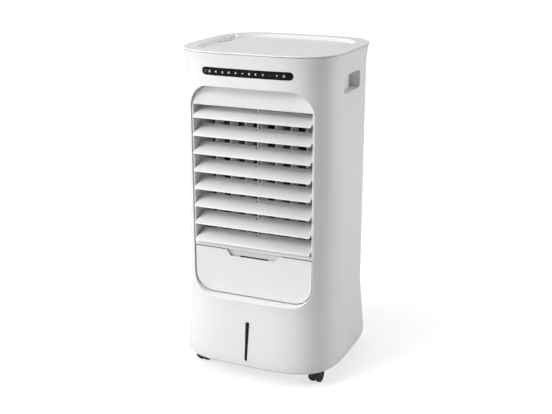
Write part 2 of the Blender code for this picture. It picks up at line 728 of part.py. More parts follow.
def make_fan_shroud():
    """The bulkhead: a plate with a round duct, and four arms behind it that carry the motor."""
    sides = 36
    front = plate(
        [rectangle(-0.1945, 0.315, 0.1945, 0.700), circle(0, FAN_Z, 0.1425, sides)],
        "XZ",
        SHROUD_FRONT_Y,
        SHROUD_FRONT_Y + 0.003,
    )
    duct = plate(
        [circle(0, FAN_Z, 0.1450, sides), circle(0, FAN_Z, 0.1425, sides)],
        "XZ",
        SHROUD_FRONT_Y + 0.001,
        SHROUD_BACK_Y,
    )
    seat = plate(
        [circle(0, FAN_Z, MOTOR_RADIUS + 0.005, 24), circle(0, FAN_Z, 0.012, 24)],
        "XZ",
        SHROUD_BACK_Y - 0.003,
        SHROUD_BACK_Y,
    )
    shroud = union(front, duct)
    arms = seat
    for turn in range(4):
        arm = box((0.030, SHROUD_BACK_Y - 0.0028, -0.005), (0.1440, SHROUD_BACK_Y - 0.0002, 0.005))
        angle = math.radians(45 + 90 * turn)
        arm.data.transform(Matrix.Translation((0, 0, FAN_Z)) @ Matrix.Rotation(angle, 4, "Y"))
        arms = union(arms, arm)
    return keep(union(shroud, arms), "fan_shroud", DARK_GREY)


def make_fan_motor():
    can = cylinder(MOTOR_RADIUS, (0, SHROUD_BACK_Y + SEAT_GAP, FAN_Z), MOTOR_LENGTH, "Y", 28, bevel=0.004)
    bore = cylinder(SHAFT_RADIUS + HOLE_CLEARANCE, (0, SHROUD_BACK_Y - 0.01, FAN_Z), 0.040, "Y", 16)
    return keep(cut(can, bore), "fan_motor", STEEL)


def make_fan_shaft():
    shaft = cylinder(SHAFT_RADIUS, (0, FAN_Y - 0.0200, FAN_Z), 0.0780, "Y", 14)
    return keep(shaft, "fan_shaft", STEEL, (0, FAN_Y, FAN_Z))


def blade_sheet(turn):
    """One twisted blade of the fan, from the hub outward."""
    spans, chords = 5, 4
    start = FAN_HUB_RADIUS - 0.003
    rows = []
    for i in range(spans + 1):
        share = i / spans
        radius = start + (FAN_RADIUS - start) * share
        pitch = math.radians(48 - 24 * share)
        half = 0.030 + 0.020 * share - 0.010 * share**3
        row = []
        for j in range(chords + 1):
            along = (j / chords - 0.5) * 2 * half
            swing = along * math.cos(pitch) / radius + math.radians(14) * share**2
            depth = along * math.sin(pitch) * 0.72 + 0.004 * (1 - (2 * j / chords - 1) ** 2)
            angle = turn + swing
            row.append((radius * math.cos(angle), FAN_Y + depth, FAN_Z + radius * math.sin(angle)))
        rows.append(row)
    shape = bmesh.new()
    grid = [[shape.verts.new(point) for point in row] for row in rows]
    for a, b in zip(grid, grid[1:]):
        for j in range(chords):
            shape.faces.new((a[j], a[j + 1], b[j + 1], b[j]))
    mesh = bpy.data.meshes.new("blade")
    shape.to_mesh(mesh)
    shape.free()
    obj = bpy.data.objects.new("blade", mesh)
    bpy.context.scene.collection.objects.link(obj)
    thickness = obj.modifiers.new("wall", "SOLIDIFY")
    thickness.thickness = 0.0022
    thickness.offset = 0
    return weld(settle(obj))


def make_fan_rotor():
    hub = cylinder(FAN_HUB_RADIUS, (0, FAN_Y - 0.024, FAN_Z), 0.046, "Y", 30, bevel=0.004)
    rotor = hub
    for index in range(5):
        rotor = union(rotor, blade_sheet(2 * math.pi * index / 5))
    bore = cylinder(SHAFT_RADIUS + 0.0003, (0, FAN_Y - 0.021, FAN_Z), 0.06, "Y", 16)
    return keep(cut(rotor, bore), "fan_rotor", DARK_GREY, (0, FAN_Y, FAN_Z))


# ---------------------------------------------------------------- water side
PAD_FRONT_Y = 0.098
PAD_BACK_Y = 0.142


def make_pad_frame():
    """The cassette that holds the wet pad, with a drip trough under it and two legs down to the chassis."""
    outer = box((-0.1300, PAD_FRONT_Y - 0.003, 0.2900), (0.1300, PAD_BACK_Y + 0.002, 0.7000))
    inner = box((-0.1215, PAD_FRONT_Y - 0.02, 0.3020), (0.1215, PAD_BACK_Y + 0.02, 0.72))
    ledges = box((-0.1260, PAD_FRONT_Y - 0.0004, 0.2970), (0.1260, PAD_BACK_Y + 0.0004, 0.72))
    drain = cylinder(0.006, (-0.08, 0.120, 0.28), 0.03, "Z", 12)
    frame = cut(outer, inner, ledges, drain)
    for side in (-1, 1):
        x0, x1 = sorted((side * 0.1280, side * 0.1470))
        frame = union(frame, box((x0, 0.0960, 0.2905), (x1, 0.1060, 0.2965)))
        x0, x1 = sorted((side * 0.1415, side * 0.1465))
        foot_z = CHASSIS_Z + CHASSIS_THICKNESS + SEAT_GAP
        frame = union(frame, box((x0, 0.0965, foot_z), (x1, 0.1055, 0.2940)))
    return keep(frame, "pad_frame", SOFT_WHITE)


def make_cooling_pad():
    pad = box((-0.1255, PAD_FRONT_Y, 0.2975), (0.1255, PAD_BACK_Y, 0.6960))
    return keep(pad, "cooling_pad", PAD_BROWN)


def make_water_distributor():
    outer = box((-0.1270, PAD_FRONT_Y - 0.002, 0.7005), (0.1270, PAD_BACK_Y + 0.002, 0.7200))
    inner = box((-0.1250, PAD_FRONT_Y, 0.7030), (0.1250, PAD_BACK_Y, 0.73))
    tray = cut(outer, inner)
    for index in range(9):
        x = (index - 4) * 0.027
        tray = cut(tray, cylinder(0.0016, (x, 0.120, 0.69), 0.03, "Z", 8))
    return keep(tray, "water_distributor", SOFT_WHITE)


PUMP_X, PUMP_Y = 0.095, 0.080
PUMP_HEAD_Z = 0.100


def make_water_pump():
    low = (PUMP_X - 0.024, PUMP_Y - 0.020, 0.058)
    body = box(low, (PUMP_X + 0.024, PUMP_Y + 0.020, PUMP_HEAD_Z), bevel=0.003)
    nozzle = cylinder(0.0045, (PUMP_X, PUMP_Y, 0.098), 0.014, "Z", 14)
    return keep(union(body, nozzle), "water_pump", BLACK)


def make_pump_bracket():
    """The strap that hangs the pump from the pad frame, so the pump stays put when the tank slides out."""
    strap = plate(
        [[
            (PUMP_Y - 0.010, 0.1006), (PUMP_Y + 0.010, 0.1006), (PUMP_Y + 0.010, 0.1750),
            (PUMP_Y + 0.026, 0.2000), (PUMP_Y + 0.026, 0.2895), (PUMP_Y + 0.018, 0.2895),
            (PUMP_Y + 0.018, 0.2020), (PUMP_Y + 0.006, 0.1830),
            (PUMP_Y + 0.006, 0.1030), (PUMP_Y - 0.010, 0.1030),
        ]],
        "YZ",
        PUMP_X - 0.020,
        PUMP_X - 0.008,
    )
    return keep(strap, "pump_bracket", SOFT_WHITE)


def make_riser_hose():
    """From the pump's nozzle, out past the pad frame and up into the distributor."""
    bends = [
        (PUMP_X, PUMP_Y, PUMP_HEAD_Z), (PUMP_X, PUMP_Y, 0.2200),
        (0.1420, 0.1180, 0.2750), (0.1420, 0.1200, 0.7180),
        (0.1380, 0.1200, 0.7300), (0.1200, 0.1200, 0.7330),
        (0.1120, 0.1200, 0.7270), (0.1100, 0.1200, 0.7060),
    ]
    hose = tube(bends, 0.0066, 2)
    bore = tube([(PUMP_X, PUMP_Y, 0.0990), (PUMP_X, PUMP_Y, 0.1180)], 0.0050, 2)
    return keep(cut(hose, bore), "riser_hose", HOSE_CLEAR)


def make_water_tank():
    """The pull-out tank: an open box whose back wall is the fascia, with a recessed pull."""
    back = BACK_PLANE_Y - 0.0005
    outer = box((-TANK_HALF_WIDTH, TANK_FRONT_Y, TANK_BOTTOM), (TANK_HALF_WIDTH, back, TANK_TOP))
    inner = box(
        (-TANK_HALF_WIDTH + TANK_WALL, TANK_FRONT_Y + TANK_WALL, TANK_BOTTOM + TANK_WALL),
        (TANK_HALF_WIDTH - TANK_WALL, back - 0.0320, 0.3),
    )
    pull = box((-0.050, back - 0.026, 0.112), (0.050, back + 0.02, 0.148), bevel=0.006)
    rib = TANK_HALF_WIDTH - 0.004
    lightening = box((-rib, back - 0.0295, 0.033), (rib, back - 0.003, 0.095))
    tank = cut(outer, inner, pull, lightening)
    drain = cylinder(0.0062, (-0.100, back - 0.05, 0.066), 0.08, "Y", 16)
    return keep(cut(tank, drain), "water_tank", TANK_BLUE, (0, 0, TANK_BOTTOM))


def make_drain_plug():
    back = BACK_PLANE_Y - 0.0005
    stem = cylinder(0.0056, (-0.100, back - 0.034, 0.066), 0.036, "Y", 16)
    head = cylinder(0.0095, (-0.100, back + 0.0005, 0.066), 0.006, "Y", 20)
    return keep(union(stem, head), "drain_plug", DARK_GREY)


# ---------------------------------------------------------------- back
def make_rear_panel():
    """The back cover, with the intake and tank openings, two cord hooks and a cord gland."""
    outline = rounded_outline(
        BACK_HALF_WIDTH - 0.001, 0.0502, BACK_TOP - 0.001, 0.018, BACK_RADIUS - 0.001, 4
    )
    intake = rectangle(-INTAKE_HALF_WIDTH, INTAKE_BOTTOM, INTAKE_HALF_WIDTH, INTAKE_TOP)
    tank = rectangle(-TANK_HALF_WIDTH - 0.001, 0.0515, TANK_HALF_WIDTH + 0.001, TANK_TOP + 0.0012)
    screw_holes = [circle(x, z, SCREW_RADIUS + 0.0004, 10) for x, z in REAR_SCREWS]
    panel = plate([outline, intake, tank, *screw_holes], "XZ", BACK_PLANE_Y - 0.003, BACK_PLANE_Y)
    for x in (-0.070, 0.070):
        post = cylinder(0.008, (x, BACK_PLANE_Y - 0.001, 0.236), 0.0190, "Y", 16)
        lip = box((x - 0.010, BACK_PLANE_Y + 0.0155, 0.218), (x + 0.010, BACK_PLANE_Y + 0.0185, 0.254))
        panel = union(panel, post, lip)
    gland = cylinder(0.0075, (-0.112, BACK_PLANE_Y - 0.001, 0.212), 0.008, "Y", 16)
    passage = cylinder(0.0036, (-0.112, BACK_PLANE_Y - 0.02, 0.212), 0.04, "Y", 12)
    return keep(cut(union(panel, gland), passage), "rear_panel", WHITE)


GRILLE_HINGE_Y = 0.1600
GRILLE_HINGE_Z = 0.3052


def make_rear_grille():
    """The tilt-out intake grille: a rim and rows of slots, with a finger tab at the top."""
    half = INTAKE_HALF_WIDTH - 0.0012
    low, high = INTAKE_BOTTOM + 0.0012, INTAKE_TOP - 0.0012
    rows, columns = 14, 3
    cell_w = (2 * half - 0.020) / columns
    cell_h = (high - low - 0.034) / rows
    slots = []
    for row in range(rows):
        for column in range(columns):
            u = -half + 0.010 + column * cell_w
            v = low + 0.010 + row * cell_h
            slots.append(rectangle(u + 0.003, v + 0.004, u + cell_w - 0.003, v + cell_h - 0.004))
    face = plate([rectangle(-half, low, half, high), *slots], "XZ", BACK_PLANE_Y - 0.0035, BACK_PLANE_Y)
    rim = plate(
        [rectangle(-half, low, half, high), rectangle(0.002 - half, low + 0.002, half - 0.002, high - 0.002)],
        "XZ",
        0.1530,
        BACK_PLANE_Y - 0.002,
    )
    tab = box((-0.022, BACK_PLANE_Y - 0.001, high - 0.016), (0.022, BACK_PLANE_Y + 0.006, high - 0.012))
    return keep(union(face, rim, tab), "rear_grille", WHITE, (0, GRILLE_HINGE_Y, GRILLE_HINGE_Z))


def make_dust_filter():
    half = INTAKE_HALF_WIDTH - 0.0040
    sheet = box((-half, 0.1540, INTAKE_BOTTOM + 0.0040), (half, 0.1560, INTAKE_TOP - 0.0040))
    return keep(sheet, "dust_filter", FILTER_GREY, (0, GRILLE_HINGE_Y, GRILLE_HINGE_Z))


def make_rear_screw(index):
    x, z = REAR_SCREWS[index]
    shank = cylinder(SCREW_RADIUS, (x, 0.1490, z), 0.0135, "Y", 10)
    head = cylinder(0.0036, (x, BACK_PLANE_Y + SEAT_GAP, z), 0.0022, "Y", 14)
    return keep(union(shank, head), f"rear_screw_{index + 1}", STEEL)


CORD_RADIUS = 0.0030


def cord_path():
    """From the gland to the right hook, then an oval spiral round both hooks, each turn outside the last."""
    x, y, z = -0.112, BACK_PLANE_Y, 0.212
    points = [
        (x, y - 0.010, z), (x, y + 0.0100, z), (x + 0.004, y + 0.0120, z + 0.001),
        (0.036, y + 0.0120, 0.2425), (0.054, y + 0.0090, 0.2470), (0.064, y + 0.0050, 0.2487),
    ]
    run, start, growth, steps = 0.070, 0.0130, 0.0070, 7
    for half_turn in range(5):
        side, top = (1, 90) if half_turn % 2 == 0 else (-1, -90)
        for i in range(steps + 1):
            radius = start + growth * (half_turn + i / steps) / 2
            angle = math.radians(top - 180 * i / steps)
            u, v = side * run + radius * math.cos(angle), 0.236 + radius * math.sin(angle)
            points.append((u, y + 0.0050, v))
    tail = [(0.0560, 0.2040), (0.0460, 0.1995), (0.0380, 0.1930), (0.0300, 0.1888), (0.0200, 0.1880)]
    return points + [(u, y + 0.0050, v) for u, v in tail]


def make_cord():
    return keep(tube(cord_path(), CORD_RADIUS, 1), "power_cord", BLACK)


def make_mains_plug():
    x, y, z = cord_path()[-1]
    low, high = (x - 0.042, y - 0.0045, z - 0.0080), (x - 0.0004, y + 0.0115, z + 0.0080)
    plug = box(low, high, bevel=0.0025, segments=1)
    for offset in (-0.0048, 0.0048):
        plug = union(plug, cylinder(0.0020, (x - 0.060, y + 0.0035, z + offset), 0.022, "X", 10))
    return keep(plug, "mains_plug", BLACK)


# ---------------------------------------------------------------- chassis and casters
CASTERS = {"front_left": (-1, -1), "front_right": (1, -1), "rear_left": (-1, 1), "rear_right": (1, 1)}


def make_base_chassis():
    """The floor of the body: a ribbed plate with four caster sockets and two rails for the tank."""
    low, high = CHASSIS_Z, CHASSIS_Z + CHASSIS_THICKNESS
    floor = loft([ring(z, -WALL - 0.0012, BASE_TOP) for z in (low, high)])
    floor = cut(floor, box((-0.1530, 0.1370, low - 0.01), (0.1530, 0.3, high + 0.01)))
    for side in (-1, 1):
        x0, x1 = sorted((side * (TANK_HALF_WIDTH + 0.0010), side * (TANK_HALF_WIDTH + 0.0040)))
        floor = union(floor, box((x0, -0.130, high - 0.001), (x1, 0.130, high + 0.012)))
    for sx, sy in CASTERS.values():
        spot = (sx * CASTER_X, sy * CASTER_Y)
        floor = union(floor, cylinder(0.0090, (*spot, low), 0.0200, "Z", 16))
        floor = cut(floor, cylinder(0.0040 + HOLE_CLEARANCE, (*spot, low - 0.01), 0.025, "Z", 16))
    return keep(floor, "base_chassis", WHITE)


def make_caster_fork(label, sx, sy):
    """A swivel caster's body: stem, shoulder, a hood over the two wheels and the web between them."""
    x, y = sx * CASTER_X, sy * CASTER_Y
    axle_y, axle_z = y + CASTER_TRAIL, CASTER_AXLE_Z

    def arc(clearance):
        """The upper arc round the wheels, at a clearance from their tread."""
        radius = CASTER_RADIUS + clearance
        turns = [math.radians(degrees) for degrees in range(15, 196, 20)]
        return [(axle_y + radius * math.cos(t), axle_z + radius * math.sin(t)) for t in turns]

    cover = plate([arc(0.0035) + arc(0.0012)[::-1]], "YZ", x - 0.0145, x + 0.0145)
    web_outline = arc(0.0023) + [(axle_y - 0.007, axle_z - 0.005), (axle_y + 0.007, axle_z - 0.005)]
    axle_hole = circle(axle_y, axle_z, 0.0025 + HOLE_CLEARANCE, 16)
    web = plate([web_outline, axle_hole], "YZ", x - 0.0022, x + 0.0022)
    shoulder_z = axle_z + CASTER_RADIUS + 0.0015
    shoulder = cylinder(0.0078, (x, y, shoulder_z), CHASSIS_Z - 0.0008 - shoulder_z, "Z", 14)
    stem = cylinder(0.0040, (x, y, CHASSIS_Z - 0.004), 0.0170, "Z", 12)
    fork = union(cover, web, shoulder, stem)
    return keep(fork, f"caster_fork_{label}", BLACK, (x, y, CHASSIS_Z))


def make_caster_wheels(label, sx, sy):
    """The twin wheels and the axle that joins them through the fork's web."""
    x, y = sx * CASTER_X, sy * CASTER_Y
    axle_y, axle_z = y + CASTER_TRAIL, CASTER_AXLE_Z
    wheels = cylinder(0.0025, (x - 0.0050, axle_y, axle_z), 0.0100, "X", 12)
    for start in (x + WHEEL_INNER_X, x - WHEEL_INNER_X - WHEEL_THICKNESS):
        disc = cylinder(CASTER_RADIUS, (start, axle_y, axle_z), WHEEL_THICKNESS, "X", 20, bevel=0.0015)
        wheels = union(wheels, disc)
    return keep(wheels, f"caster_wheels_{label}", BLACK, (x, axle_y, axle_z))


# ---------------------------------------------------------------- build everything
make_housing()
make_top_cover()
make_top_lid()
make_ice_tray()
make_display_lens()
make_control_board()
make_level_window()
make_grille_frame()
for number in range(LOUVRE_COUNT):
    make_louvre(number)
make_louvre_link()
for number in range(VANE_COUNT):
    make_vane(number)
make_vane_link()
make_swing_motor()
make_fill_door()
make_fill_chute()
make_fan_shroud()
make_fan_motor()
make_fan_shaft()
make_fan_rotor()
make_pad_frame()
make_cooling_pad()
make_water_distributor()
make_water_pump()
make_pump_bracket()
make_riser_hose()
make_water_tank()
make_drain_plug()
make_rear_panel()
make_rear_grille()
make_dust_filter()
for number in range(len(REAR_SCREWS)):
    make_rear_screw(number)
make_cord()
make_mains_plug()
make_base_chassis()
for place, signs in CASTERS.items():
    make_caster_fork(place, *signs)
    make_caster_wheels(place, *signs)
for piece in parts.objects:
    piece.location.z += BODY_LIFT
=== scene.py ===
"""The looks of an evaporative cooler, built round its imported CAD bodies.

Metres, +Z up. The front faces -Y and the floor is z = 0.
"""

import math
from contextlib import contextmanager

import bmesh
import bpy
import numpy as np
from mathutils import Matrix, Vector
from mathutils.geometry import delaunay_2d_cdt


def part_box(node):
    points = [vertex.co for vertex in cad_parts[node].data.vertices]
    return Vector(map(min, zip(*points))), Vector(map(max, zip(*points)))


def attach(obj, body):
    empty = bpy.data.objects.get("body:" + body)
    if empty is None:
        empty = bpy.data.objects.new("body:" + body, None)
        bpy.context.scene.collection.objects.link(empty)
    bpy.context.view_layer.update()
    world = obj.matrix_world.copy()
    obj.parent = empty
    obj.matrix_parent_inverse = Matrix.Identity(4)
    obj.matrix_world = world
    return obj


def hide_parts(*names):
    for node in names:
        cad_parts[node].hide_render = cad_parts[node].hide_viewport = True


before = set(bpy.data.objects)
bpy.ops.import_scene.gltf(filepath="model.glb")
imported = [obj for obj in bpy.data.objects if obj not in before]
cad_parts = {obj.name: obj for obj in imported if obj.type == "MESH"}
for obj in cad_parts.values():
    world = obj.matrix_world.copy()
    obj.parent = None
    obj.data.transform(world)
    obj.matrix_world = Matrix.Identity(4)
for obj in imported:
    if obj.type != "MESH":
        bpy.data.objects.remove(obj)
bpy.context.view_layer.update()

BODY_LIFT = 0.018  # the forms are drawn from a datum this far above the floor, and lifted by it in show()


def drawn_box(node):
    """A CAD node's box, seen from the datum."""
    low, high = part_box(node)
    lift = Vector((0.0, 0.0, BODY_LIFT))
    return Vector(low) - lift, Vector(high) - lift


# ---------------------------------------------------------------- dimensions of the moulded forms
HOUSING_LOW, HOUSING_HIGH = drawn_box("housing")
FRAME_LOW, FRAME_HIGH = drawn_box("grille_frame")
WINDOW_LOW, WINDOW_HIGH = drawn_box("level_window")
TANK_LOW, TANK_HIGH = drawn_box("water_tank")
GRILLE_HIGH = drawn_box("rear_grille")[1]
PAD_LOW, PAD_HIGH = drawn_box("cooling_pad")
FILTER_LOW, FILTER_HIGH = drawn_box("dust_filter")
COVER_HIGH = drawn_box("top_cover")[1]

POWER = 3.75  # the plan is a superellipse
HALF_WIDTH = 0.199
HALF_DEPTH = 0.186
WALL = 0.003
BODY_BOTTOM = HOUSING_LOW.z
BASE_BLEND_TOP = 0.185
BASE_TOP = 0.050
BASE_CREASE = 0.15
BASE_FLARE = 0.010
FRONT_BULGE = 0.006
EDGE_RADIUS = 0.008
NECK_Z = 0.748
RIM_Z = HOUSING_HIGH.z + 0.0090
RIM_FLARE = 0.0055

FRONT_PLANE_Y = FRAME_LOW.y
OPENING_HALF = 0.158
OPENING_BOTTOM = 0.197
OPENING_TOP = 0.7235
OPENING_TOP_RADIUS = 0.058
OPENING_BOTTOM_RADIUS = 0.050
FLANGE = 0.0025
FLANGE_BACK_Y = -0.146
INSERT_GAP = 0.0015

LOUVRES = 8
LOUVRE_PITCH = 0.0445
LOUVRE_FRONT_Y = -0.167
LOUVRE_TOP_Z = 0.6425
LOUVRE_CHORD = 0.058
LOUVRE_TILT = math.radians(21)
LOUVRE_HALF = 0.152
LOUVRE_THICKNESS = 0.003
PIVOT_AT = 0.020
LINK_AT = 0.052
PIN_RADIUS = 0.0025
PIN_PLAY = 0.0004
VANES = 7
VANE_PITCH = 0.040
VANE_PIVOT_Y = -0.083

BLANK_BOTTOM = 0.6735
BAR_TOP = 0.3276
BAR_BOTTOM = 0.3174
FRAME_FLOOR_Z = 0.3225
ROOF_Z = 0.6840
FRAME_BACK_Y = FRAME_HIGH.y
DOOR_TOP = 0.3149
DOOR_GAP = 0.0026
DOOR_HINGE = (-0.1555, 0.2075)
NOTCH_TOP_HALF = 0.074
NOTCH_BOTTOM_HALF = 0.056
NOTCH_DEPTH = 0.0155

STRIP_Z = 0.7598
STRIP_HALF = 0.1145
STRIP_HEIGHT = 0.018
GRIP_Y = -0.014
GRIP_HALF = 0.055
GRIP_BOTTOM = 0.7065
GRIP_TOP = 0.7495
GRIP_FLOOR_X = HALF_WIDTH - 0.024

BACK_PLANE_Y = 0.161
BACK_HALF = 0.150
BACK_BOTTOM = 0.046
BACK_TOP = 0.742
BACK_RADIUS = 0.022
INTAKE_HALF = 0.126
INTAKE_BOTTOM = 0.302
INTAKE_TOP = 0.700
COVER_SCREWS = [(x, z) for x in (-0.136, 0.136) for z in (0.190, 0.728)]
GLAND = (-0.112, BACK_PLANE_Y, 0.212)  # where the cord leaves the back cover
HOOK_X = 0.070
HOOK_Z = 0.236
DRAIN_X, DRAIN_Z = -0.100, 0.066

SCOOP_CENTRE = (-0.166, 0.062, 0.806)
SCOOP_RADII = (0.0125, 0.052, 0.018)


# ---------------------------------------------------------------- materials
class Finish:
    """A procedural material and the few node patterns it is made of."""

    def __init__(self, name):
        self.material = bpy.data.materials.new(name)
        self.material.use_nodes = True
        self.tree = self.material.node_tree
        self.shader = self.tree.nodes["Principled BSDF"]
        self.place = self.add("ShaderNodeTexCoord").outputs["Object"]
        self.normal = None

    def add(self, kind, **settings):
        node = self.tree.nodes.new(kind)
        for key, value in settings.items():
            setattr(node, key, value)
        return node

    def feed(self, socket, value):
        if isinstance(value, bpy.types.NodeSocket):
            self.tree.links.new(value, socket)
        elif isinstance(value, tuple) and len(value) == 3 and len(socket.default_value) == 4:
            socket.default_value = (*value, 1.0)
        else:
            socket.default_value = value

    def set(self, name, value):
        self.feed(self.shader.inputs[name], value)
        return self

    def stretched(self, scale):
        node = self.add("ShaderNodeMapping")
        self.feed(node.inputs["Vector"], self.place)
        node.inputs["Scale"].default_value = scale
        return node.outputs["Vector"]

    def noise(self, scale, detail=3.0, stretch=None, distortion=0.0):
        node = self.add("ShaderNodeTexNoise")
        self.feed(node.inputs["Vector"], self.stretched(stretch) if stretch else self.place)
        node.inputs["Scale"].default_value = scale
        node.inputs["Detail"].default_value = detail
        node.inputs["Distortion"].default_value = distortion
        return node.outputs["Fac"]

    def cells(self, scale, feature="F1", stretch=None):
        node = self.add("ShaderNodeTexVoronoi", feature=feature)
        self.feed(node.inputs["Vector"], self.stretched(stretch) if stretch else self.place)
        node.inputs["Scale"].default_value = scale
        return node.outputs["Distance"]

    def wave(self, scale, direction):
        node = self.add("ShaderNodeTexWave", bands_direction=direction)
        self.feed(node.inputs["Vector"], self.place)
        node.inputs["Scale"].default_value = scale
        return node.outputs["Fac"]

    def remap(self, value, low, high, to_low=0.0, to_high=1.0):
        node = self.add("ShaderNodeMapRange")
        for name, number in (("From Min", low), ("From Max", high), ("To Min", to_low), ("To Max", to_high)):
            node.inputs[name].default_value = number
        self.feed(node.inputs["Value"], value)
        return node.outputs["Result"]

    def mix(self, share, first, second):
        node = self.add("ShaderNodeMix", data_type="RGBA")
        self.feed(node.inputs["Factor"], share)
        self.feed(node.inputs[6], first)
        self.feed(node.inputs[7], second)
        return node.outputs[2]

    def math(self, operation, first, second):
        node = self.add("ShaderNodeMath", operation=operation)
        self.feed(node.inputs[0], first)
        self.feed(node.inputs[1], second)
        return node.outputs[0]

    def height(self):
        """The z of the point, in metres."""
        node = self.add("ShaderNodeSeparateXYZ")
        self.feed(node.inputs[0], self.place)
        return node.outputs["Z"]

    def edges(self):
        """1 on convex edges, 0 on flats."""
        return self.remap(self.add("ShaderNodeNewGeometry").outputs["Pointiness"], 0.51, 0.58)

    def bump(self, height, strength, distance):
        node = self.add("ShaderNodeBump")
        node.inputs["Strength"].default_value = strength
        node.inputs["Distance"].default_value = distance
        self.feed(node.inputs["Height"], height)
        if self.normal is not None:
            self.feed(node.inputs["Normal"], self.normal)
        self.normal = node.outputs["Normal"]
        self.feed(self.shader.inputs["Normal"], self.normal)
        return self


def shade(colour, factor):
    return tuple(channel * factor for channel in colour)


def plastic(name, colour, roughness, grain=0.25, drift=0.03, grain_scale=1400.0, worn=1.05):
    """Moulded plastic: a spark-eroded grain, slow flow marks, handling sheen and slightly polished edges."""
    made = Finish(name)
    flow = made.noise(5.0, 4.0, (1.0, 1.0, 0.45), 0.6)
    tone = made.mix(made.remap(flow, 0.35, 0.65), shade(colour, 1.0 - drift), colour)
    specks = made.remap(made.noise(310.0, 2.0), 0.70, 0.80)
    tone = made.mix(made.math("MULTIPLY", specks, 0.05), tone, shade(colour, 0.55))
    edge = made.edges()
    made.set("Base Color", made.mix(made.math("MULTIPLY", edge, 0.6), tone, shade(colour, worn)))
    handled = made.remap(made.noise(22.0, 5.0, None, 0.8), 0.3, 0.7, roughness - 0.05, roughness + 0.06)
    made.set("Roughness", made.math("SUBTRACT", handled, made.math("MULTIPLY", edge, 0.06)))
    made.bump(made.noise(grain_scale, 2.0), grain, 0.00012)
    made.bump(made.noise(9.0, 2.0), 0.12, 0.0006)
    return made


def shell_finish(name, colour, roughness):
    """The white moulding: as plastic, with its colour darker towards the bottom, in patches."""
    made = plastic(name, colour, roughness, 0.22, 0.018, 1500.0, 1.02)
    base = made.shader.inputs["Base Color"].links[0].from_socket
    # the colour is mixed darker towards the bottom, in noisy patches
    darker_low_patches = made.math(
        "MULTIPLY", made.remap(made.height(), 0.12, 0.02), made.remap(made.noise(45.0, 5.0), 0.45, 0.75)
    )
    made.set("Base Color", made.mix(made.math("MULTIPLY", darker_low_patches, 0.30), base, (0.60, 0.585, 0.56)))
    return made


def gloss_finish(name, colour, roughness):
    """A hard coated lens: very smooth, with finger smears and a few hairline scratches."""
    made = Finish(name)
    smear = made.noise(34.0, 5.0, (1.0, 1.0, 2.2), 1.5)
    made.set("Base Color", made.mix(made.remap(smear, 0.4, 0.8), colour, shade(colour, 1.9)))
    scratches = made.remap(made.noise(60.0, 2.0, (0.6, 1.0, 40.0)), 0.70, 0.74, 0.0, 0.10)
    smeared = made.remap(smear, 0.4, 0.7, roughness, roughness + 0.10)
    made.set("Roughness", made.math("ADD", scratches, smeared))
    made.set("Specular IOR Level", 0.08)
    made.set("Coat Weight", 0.04)
    made.set("Coat Roughness", 0.04)
    made.bump(made.noise(14.0, 2.0), 0.05, 0.0004)
    return made


def steel_finish(name, colour, roughness):
    """Drawn or turned metal with fine lines along x."""
    made = Finish(name)
    lines = made.noise(14.0, 3.0, (2.0, 90.0, 90.0))
    made.set("Metallic", 1.0)
    made.set("Base Color", made.mix(made.remap(lines, 0.3, 0.7), shade(colour, 0.8), colour))
    made.set("Roughness", made.remap(made.noise(30.0, 4.0), 0.3, 0.7, roughness - 0.08, roughness + 0.12))
    made.bump(lines, 0.25, 0.0001)
    return made


def tank_finish():
    """Milky polypropylene that lets some light through."""
    made = plastic("tank_plastic", (0.70, 0.77, 0.82), 0.28, 0.15, 0.04)
    made.set("Transmission Weight", 0.35)
    made.set("IOR", 1.49)
    made.set("Subsurface Weight", 0.25)
    made.set("Subsurface Radius", (0.010, 0.011, 0.012))
    scale_ring = made.remap(made.height(), 0.150, 0.156)
    made.set("Roughness", made.remap(scale_ring, 0.0, 1.0, 0.24, 0.40))
    return made


def pad_finish():
    """Resin-stiffened paper: brown, darker where it stays wet, with pale lime on the edges."""
    made = Finish("wet_pad")
    wet = made.noise(9.0, 5.0, (1.0, 1.0, 0.35), 1.2)
    tone = made.mix(made.remap(wet, 0.35, 0.68), (0.42, 0.27, 0.13), (0.20, 0.115, 0.05))
    lime = made.remap(made.noise(70.0, 6.0), 0.62, 0.78)
    made.set("Base Color", made.mix(made.math("MULTIPLY", lime, 0.35), tone, (0.62, 0.55, 0.44)))
    made.set("Roughness", made.remap(wet, 0.35, 0.68, 0.92, 0.55))
    made.bump(made.noise(900.0, 3.0, (1.0, 1.0, 0.3)), 0.5, 0.0004)
    return made


def mesh_finish():
    """Knitted nylon filter mesh."""
    made = Finish("filter_mesh")
    strands = made.math("ADD", made.wave(500.0, "X"), made.wave(500.0, "Z"))
    made.set("Base Color", made.mix(made.remap(strands, 0.4, 1.6), (0.05, 0.055, 0.06), (0.17, 0.175, 0.18)))
    made.set("Roughness", made.remap(made.noise(60.0, 3.0), 0.3, 0.7, 0.6, 0.85))
    made.bump(strands, 0.5, 0.0003)
    return made


def board_finish():
    """Solder mask over copper tracks."""
    made = Finish("circuit_board")
    tracks = made.remap(made.cells(160.0, "DISTANCE_TO_EDGE", (1.0, 1.0, 2.0)), 0.02, 0.06)
    made.set("Base Color", made.mix(tracks, (0.05, 0.24, 0.09), (0.015, 0.11, 0.04)))
    made.set("Roughness", made.remap(made.noise(40.0), 0.3, 0.7, 0.25, 0.45))
    made.bump(tracks, 0.3, 0.0001)
    return made


def rubber_finish(name, colour, roughness=0.55):
    """Soft black plastic or rubber with a matt bloom and dust in its grain."""
    made = Finish(name)
    bloom = made.noise(28.0, 6.0, None, 0.7)
    edge = made.edges()
    tone = made.mix(made.remap(bloom, 0.40, 0.75), colour, shade(colour, 2.2))
    made.set("Base Color", made.mix(made.math("MULTIPLY", edge, 0.35), tone, shade(colour, 4.0)))
    made.set("Roughness", made.remap(bloom, 0.3, 0.7, roughness - 0.07, roughness + 0.12))
    made.bump(made.noise(1100.0, 3.0), 0.35, 0.0002)
    return made


